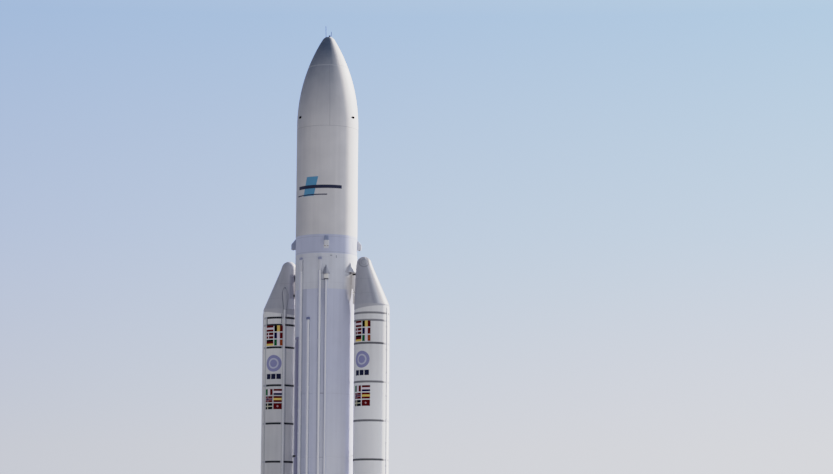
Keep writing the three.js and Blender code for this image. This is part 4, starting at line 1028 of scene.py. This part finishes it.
def cone_marks(tree):
    """Faint joints. Booster 1 has the outline of a round cap on its tip, and painted light and shade soften its edge
    between shade and light: paler where the shade turns, darker on the lit side, and darker low on the shaded side.
    Booster 2 has painted light on its side towards the core, with painted shade at that side's edge and over the lit
    sliver below the tip."""
    x, y, z = placed(tree)
    up_cone = z - CONE_START
    radius = CASE_RADIUS - up_cone * CONE_SLOPE
    left = rightwards(x + OFFSET - up_cone * TIP_SLOPE, y) / radius
    right = rightwards(x - OFFSET + up_cone * TIP_SLOPE, y) / radius
    from_tip, turned = x - OFFSET + TIP_SHIFT, math.radians(CAP_AZIMUTH)
    ahead = (from_tip * math.sin(turned) - y * math.cos(turned)) > 0.0
    aside, above = rightwards(from_tip, y), z - CAP_HEIGHT
    off = (aside * aside + above * above).math("SQRT")
    # Booster 2: painted light on the side towards the core, and painted shade at its edge and over its lit sliver
    # below the tip.
    inner_side = (rightwards(x + OFFSET - TIP_SHIFT / 2, y) / 0.55).clamped() * (x < 0.0)
    below_tip = z.ramp(28.2, 28.35) * z.ramp(30.5, 30.3)
    sliver = left.ramp(0.73, 0.78) * below_tip * (x < 0.0)
    # Booster 1: painted light where the shade turns, and painted shade on the lit side and low on the shaded side.
    turning, lit = right.peak(0.42, 0.15) * (x > 0.0), right.ramp(0.58, 0.70) * (x > 0.0)
    shade_patch = right.peak(0.14, 0.16) * z.ramp(30.2, 29.4) * (x > 0.0)
    return [(inner_side * 0.8, (224, 224, 232)), (inner_side.ramp(0.7, 0.9) * below_tip * 0.5, (132, 130, 156)),
            (sliver * 0.9, (84, 82, 100)), (turning * 0.9, (222, 222, 226)), (lit * 0.75, (134, 134, 140)),
            (shade_patch * 0.55, (136, 137, 152)), *joints((28.3, 29.6), strength=0.25)(tree),
            (off.near(CAP_RADIUS, 0.05) * ahead * 0.45, CAP_GREY),
            (off.near(CAP_RADIUS * 0.55, 0.04) * ahead * 0.2, CAP_GREY)]


def booster_duct_marks(tree):
    """The cone's grey film on the hood, and shade down the right flank of booster 2's inner duct."""
    across, up = charted(tree)
    middle = case_arc(INNER_DUCT - 90)
    flank = across.between(middle, middle + 0.7) * (placed(tree)[0] < 0.0)
    bands = union([up.near(band, 0.08) for band in BANDS])
    return [(up > 27.25, CONE_GREY), (flank * (up < 27.3) * 0.5, (110, 112, 126)), (flank * bands, BAND_BLACK)]


case_coat = coat("white_case_coat", (238, 237, 236), streaks=0.35, patches=0.35, dirt=(124, 122, 120),
                 marks=case_marks)
cone_coat = coat("grey_cone_coat", CONE_GREY, streaks=0.4, patches=0.5, dirt=(112, 112, 120), marks=cone_marks)
band_black = coat("black_joint_band", BAND_BLACK, rough=0.6, dirt=(90, 90, 94), marks=band_marks)
link_black = coat("black_link_rod", (20, 21, 26), rough=0.6, streaks=0.2, patches=0.2, dirt=(60, 60, 64))
booster_duct_coat = coat("pale_booster_duct_coat", (230, 230, 233), marks=booster_duct_marks)
arch_edge = coat("arch_edge_shade", (104, 106, 118), streaks=0.2, patches=0.2)
carbon = coat("carbon_phenolic", (46, 46, 50), rough=0.6, metal=0.1, streaks=0.2, patches=0.4, dirt=(70, 66, 62),
              grain=0.003, marks=joints(tuple(0.5 + 0.25 * k for k in range(10)), width=0.05, strength=0.5,
                                        colour=(28, 28, 32)))
mark_coat = bpy.data.materials.new("painted_marks")
mark_tree, mark_sockets = paint_tree(mark_coat)
mark_tint = mark_tree.node("Attribute", {"attribute_name": "tint"})
mark_coat.node_tree.links.new(mark_tint.socket, mark_sockets["Base Color"])
mark_sockets["Roughness"].default_value = 0.7
mark_sockets["Specular IOR Level"].default_value = 0.05


# The two boosters. Each is the other one turned half round the core, and turn says on which side of it along X it
# stands. Links and struts hold each to the core, and a gimbal ring carries its nozzle.
for number, turn in ((1, 1), (2, -1)):
    middle = (turn * OFFSET, 0.0)
    facing = 90.0 * turn  # azimuth of the side that faces away from the core
    name = f"booster_{number}"
    bands = [(*lathe([(CASE_RADIUS + out, band + up) for out, up in BAND_SHAPE], turns=128, centre=middle), 1)
             for band in BANDS]
    jet_lugs = lugs(0, JET_PIVOT - JET_LUG, LEDGE[0][1] + 0.02, JET_OUTER + JET_PLAY + JET_LUG / 2, JET_LUG,
                    JET_LUG, middle)
    skin(f"{name}_case_shell", [lathe(case_profile, turns=128, centre=middle), *bands, *jet_lugs],
         [case_coat, band_black], "launcher", [f"{name}_motor_case"])
    cone = lathe(cone_profile, turns=128, centre=middle)
    cone[0][..., 0] -= turn * leaning(cone_profile[:, 1])[:, None]
    skin(f"{name}_cone_shell", [cone], cone_coat, "launcher", [f"{name}_nose_cone"])
    skin(f"{name}_skirt_shell", [lathe(skirt_profile, turns=128, centre=middle)], case_coat, "launcher",
         [f"{name}_aft_skirt"])

    def lean(height):
        """Shift along X of the nose cone's middle at a height."""
        return -turn * leaning(height)

    arch = [(z, np.interp(z, HOOD_HEIGHTS, HOOD_WIDTHS), HOOD_RISE) for z in np.linspace(HOOD_BASE, HOOD_TOP, 18)]
    rim = [(z + (-RIM_DROP if z < HOOD_TOP else RIM_LIFT), width + RIM_WIDER, RIM_RISE) for z, width, _ in arch]
    turned = facing + INNER_DUCT + np.interp([HOOD_START, *(z for z, _, _ in arch)], HOOD_HEIGHTS, HOOD_TURNS)
    hood = [duct(turned, [(HOOD_START, *HOOD_PIPE), *arch], cone_radius, middle, lean),
            (*duct(turned[1:], rim, cone_radius, middle, lean), 1)]
    covers = {"outer": (OUTER_DUCT, strapped(DUCT_FOOT, DUCT_END, *OUTER_SIZE, taper=0.2), []),
              "inner": (INNER_DUCT, strapped(DUCT_FOOT, HOOD_BASE, *HOOD_PIPE, taper=0.2, end=(1.0, 1.0)), hood),
              "side": (SIDE_DUCT, strapped(DUCT_FOOT, DUCT_END, *SIDE_SIZE), [])}
    for place, (azimuth, levels, top_pieces) in covers.items():
        skin(f"{name}_{place}_duct_cover", [duct(facing + azimuth, levels, CASE_RADIUS, middle), *top_pieces],
             [booster_duct_coat, arch_edge] if top_pieces else booster_duct_coat, "launcher",
             [f"{name}_{place}_duct"])

    marks = [painted(FLAG_AZIMUTHS[number], middle, *rectangle) for rectangle in rectangles]
    roundel = boss(FLAG_AZIMUTHS[number], ROUNDEL_HEIGHT, ROUNDEL_SIZE, ROUNDEL_SIZE, PAINT, radius=CASE_RADIUS,
                   centre=middle, steps=ROUNDEL_STEPS, rings=ROUNDEL_RINGS)
    patches, tints = zip(*marks, (roundel, roundel_tints.reshape(-1, 3)))
    skin(f"{name}_painted_marks", patches, mark_coat, "launcher", colours=np.concatenate(tints))

    for place, (height, rod, collar_radius) in LINKS.items():
        seat = cone_radius(height)
        reach = OFFSET - seat - leaning(height)
        spans = ((CORE_RADIUS - 0.02, reach + 0.03), (CORE_RADIUS - 0.01, CORE_RADIUS + 0.03),
                 (reach - 0.03, reach + 0.03))
        ends = [[(turn * x, 0, height) for x in span] for span in spans]
        bracket_azimuth = BRACKET_AZIMUTH - (MIDDLE_TURN if place == "middle" else 0)
        pieces = [tube(*ends[0], rod, steps=24), *(tube(*end, collar_radius, bevel=0.01) for end in ends[1:]),
                  boss(-turn * bracket_azimuth, height, *BRACKET, radius=seat, depth=0.03, power=6.0,
                       centre=(middle[0] + lean(height), 0.0))]
        if place == "lower":
            pieces.append((*boss(facing + CLAMP_AZIMUTH, height - CLAMP_DROP, *CLAMP, depth=0.03, power=6.0), 1))
        # Booster 1's middle and lower rods take the cream coat as painted light; booster 2's are dark.
        rod_coat = link_black if place == "upper" else box_coat if turn > 0 else dark_fitting
        link = skin(f"{name}_{place}_link_rod", pieces, [rod_coat, link_black], "launcher",
                    [f"{name}_{place}_link"])
        link.visible_shadow = False

    plate, chart = lathe([(CORE_RADIUS + out, PLATE_HEIGHT + up) for out, up in PLATE_SHAPE], facing + PLATE_START,
                         PLATE_SWEEP, 40)
    end = np.broadcast_to(plate[:-1, 0].mean(axis=0), (len(plate), 1, 3))  # shuts one end; the other is left open
    struts = [(np.concatenate([end, plate], 1), np.concatenate([chart[:, :1], chart], 1))]
    for core_angle, booster_angle in STRUTS:
        a, b, seat = math.radians(core_angle), math.radians(booster_angle), CASE_RADIUS * STRUT_SEAT
        high_end = (turn * CORE_RADIUS * math.cos(a), CORE_RADIUS * math.sin(a), PLATE_HEIGHT)
        low_end = (turn * (OFFSET - seat * math.cos(b)), seat * math.sin(b), STRUT_LOW)
        struts.append(tube(high_end, low_end, STRUT_RADIUS, steps=24))
    skin(f"{name}_rear_strut_frame", struts, dark_fitting, "launcher", [f"{name}_rear_struts"])

    ring = gimbal(JET_PIVOT, JET_INNER, JET_OUTER, JET_HALF, JET_PIN, JET_LUG, JET_PLAY, middle)
    skin(f"{name}_gimbal", ring, bare_metal, f"{name}_gimbal", [f"{name}_gimbal_ring"])
    neck_lugs = lugs(1, JET_NECK - 0.03, JET_PIVOT + JET_LUG, JET_INNER - JET_PLAY - JET_LUG / 2, JET_LUG, JET_LUG,
                     middle)
    skin(f"{name}_nozzle_bell", [lathe(jet_profile, turns=96, centre=middle), *neck_lugs], carbon,
         f"{name}_nozzle_unit", [f"{name}_nozzle"])
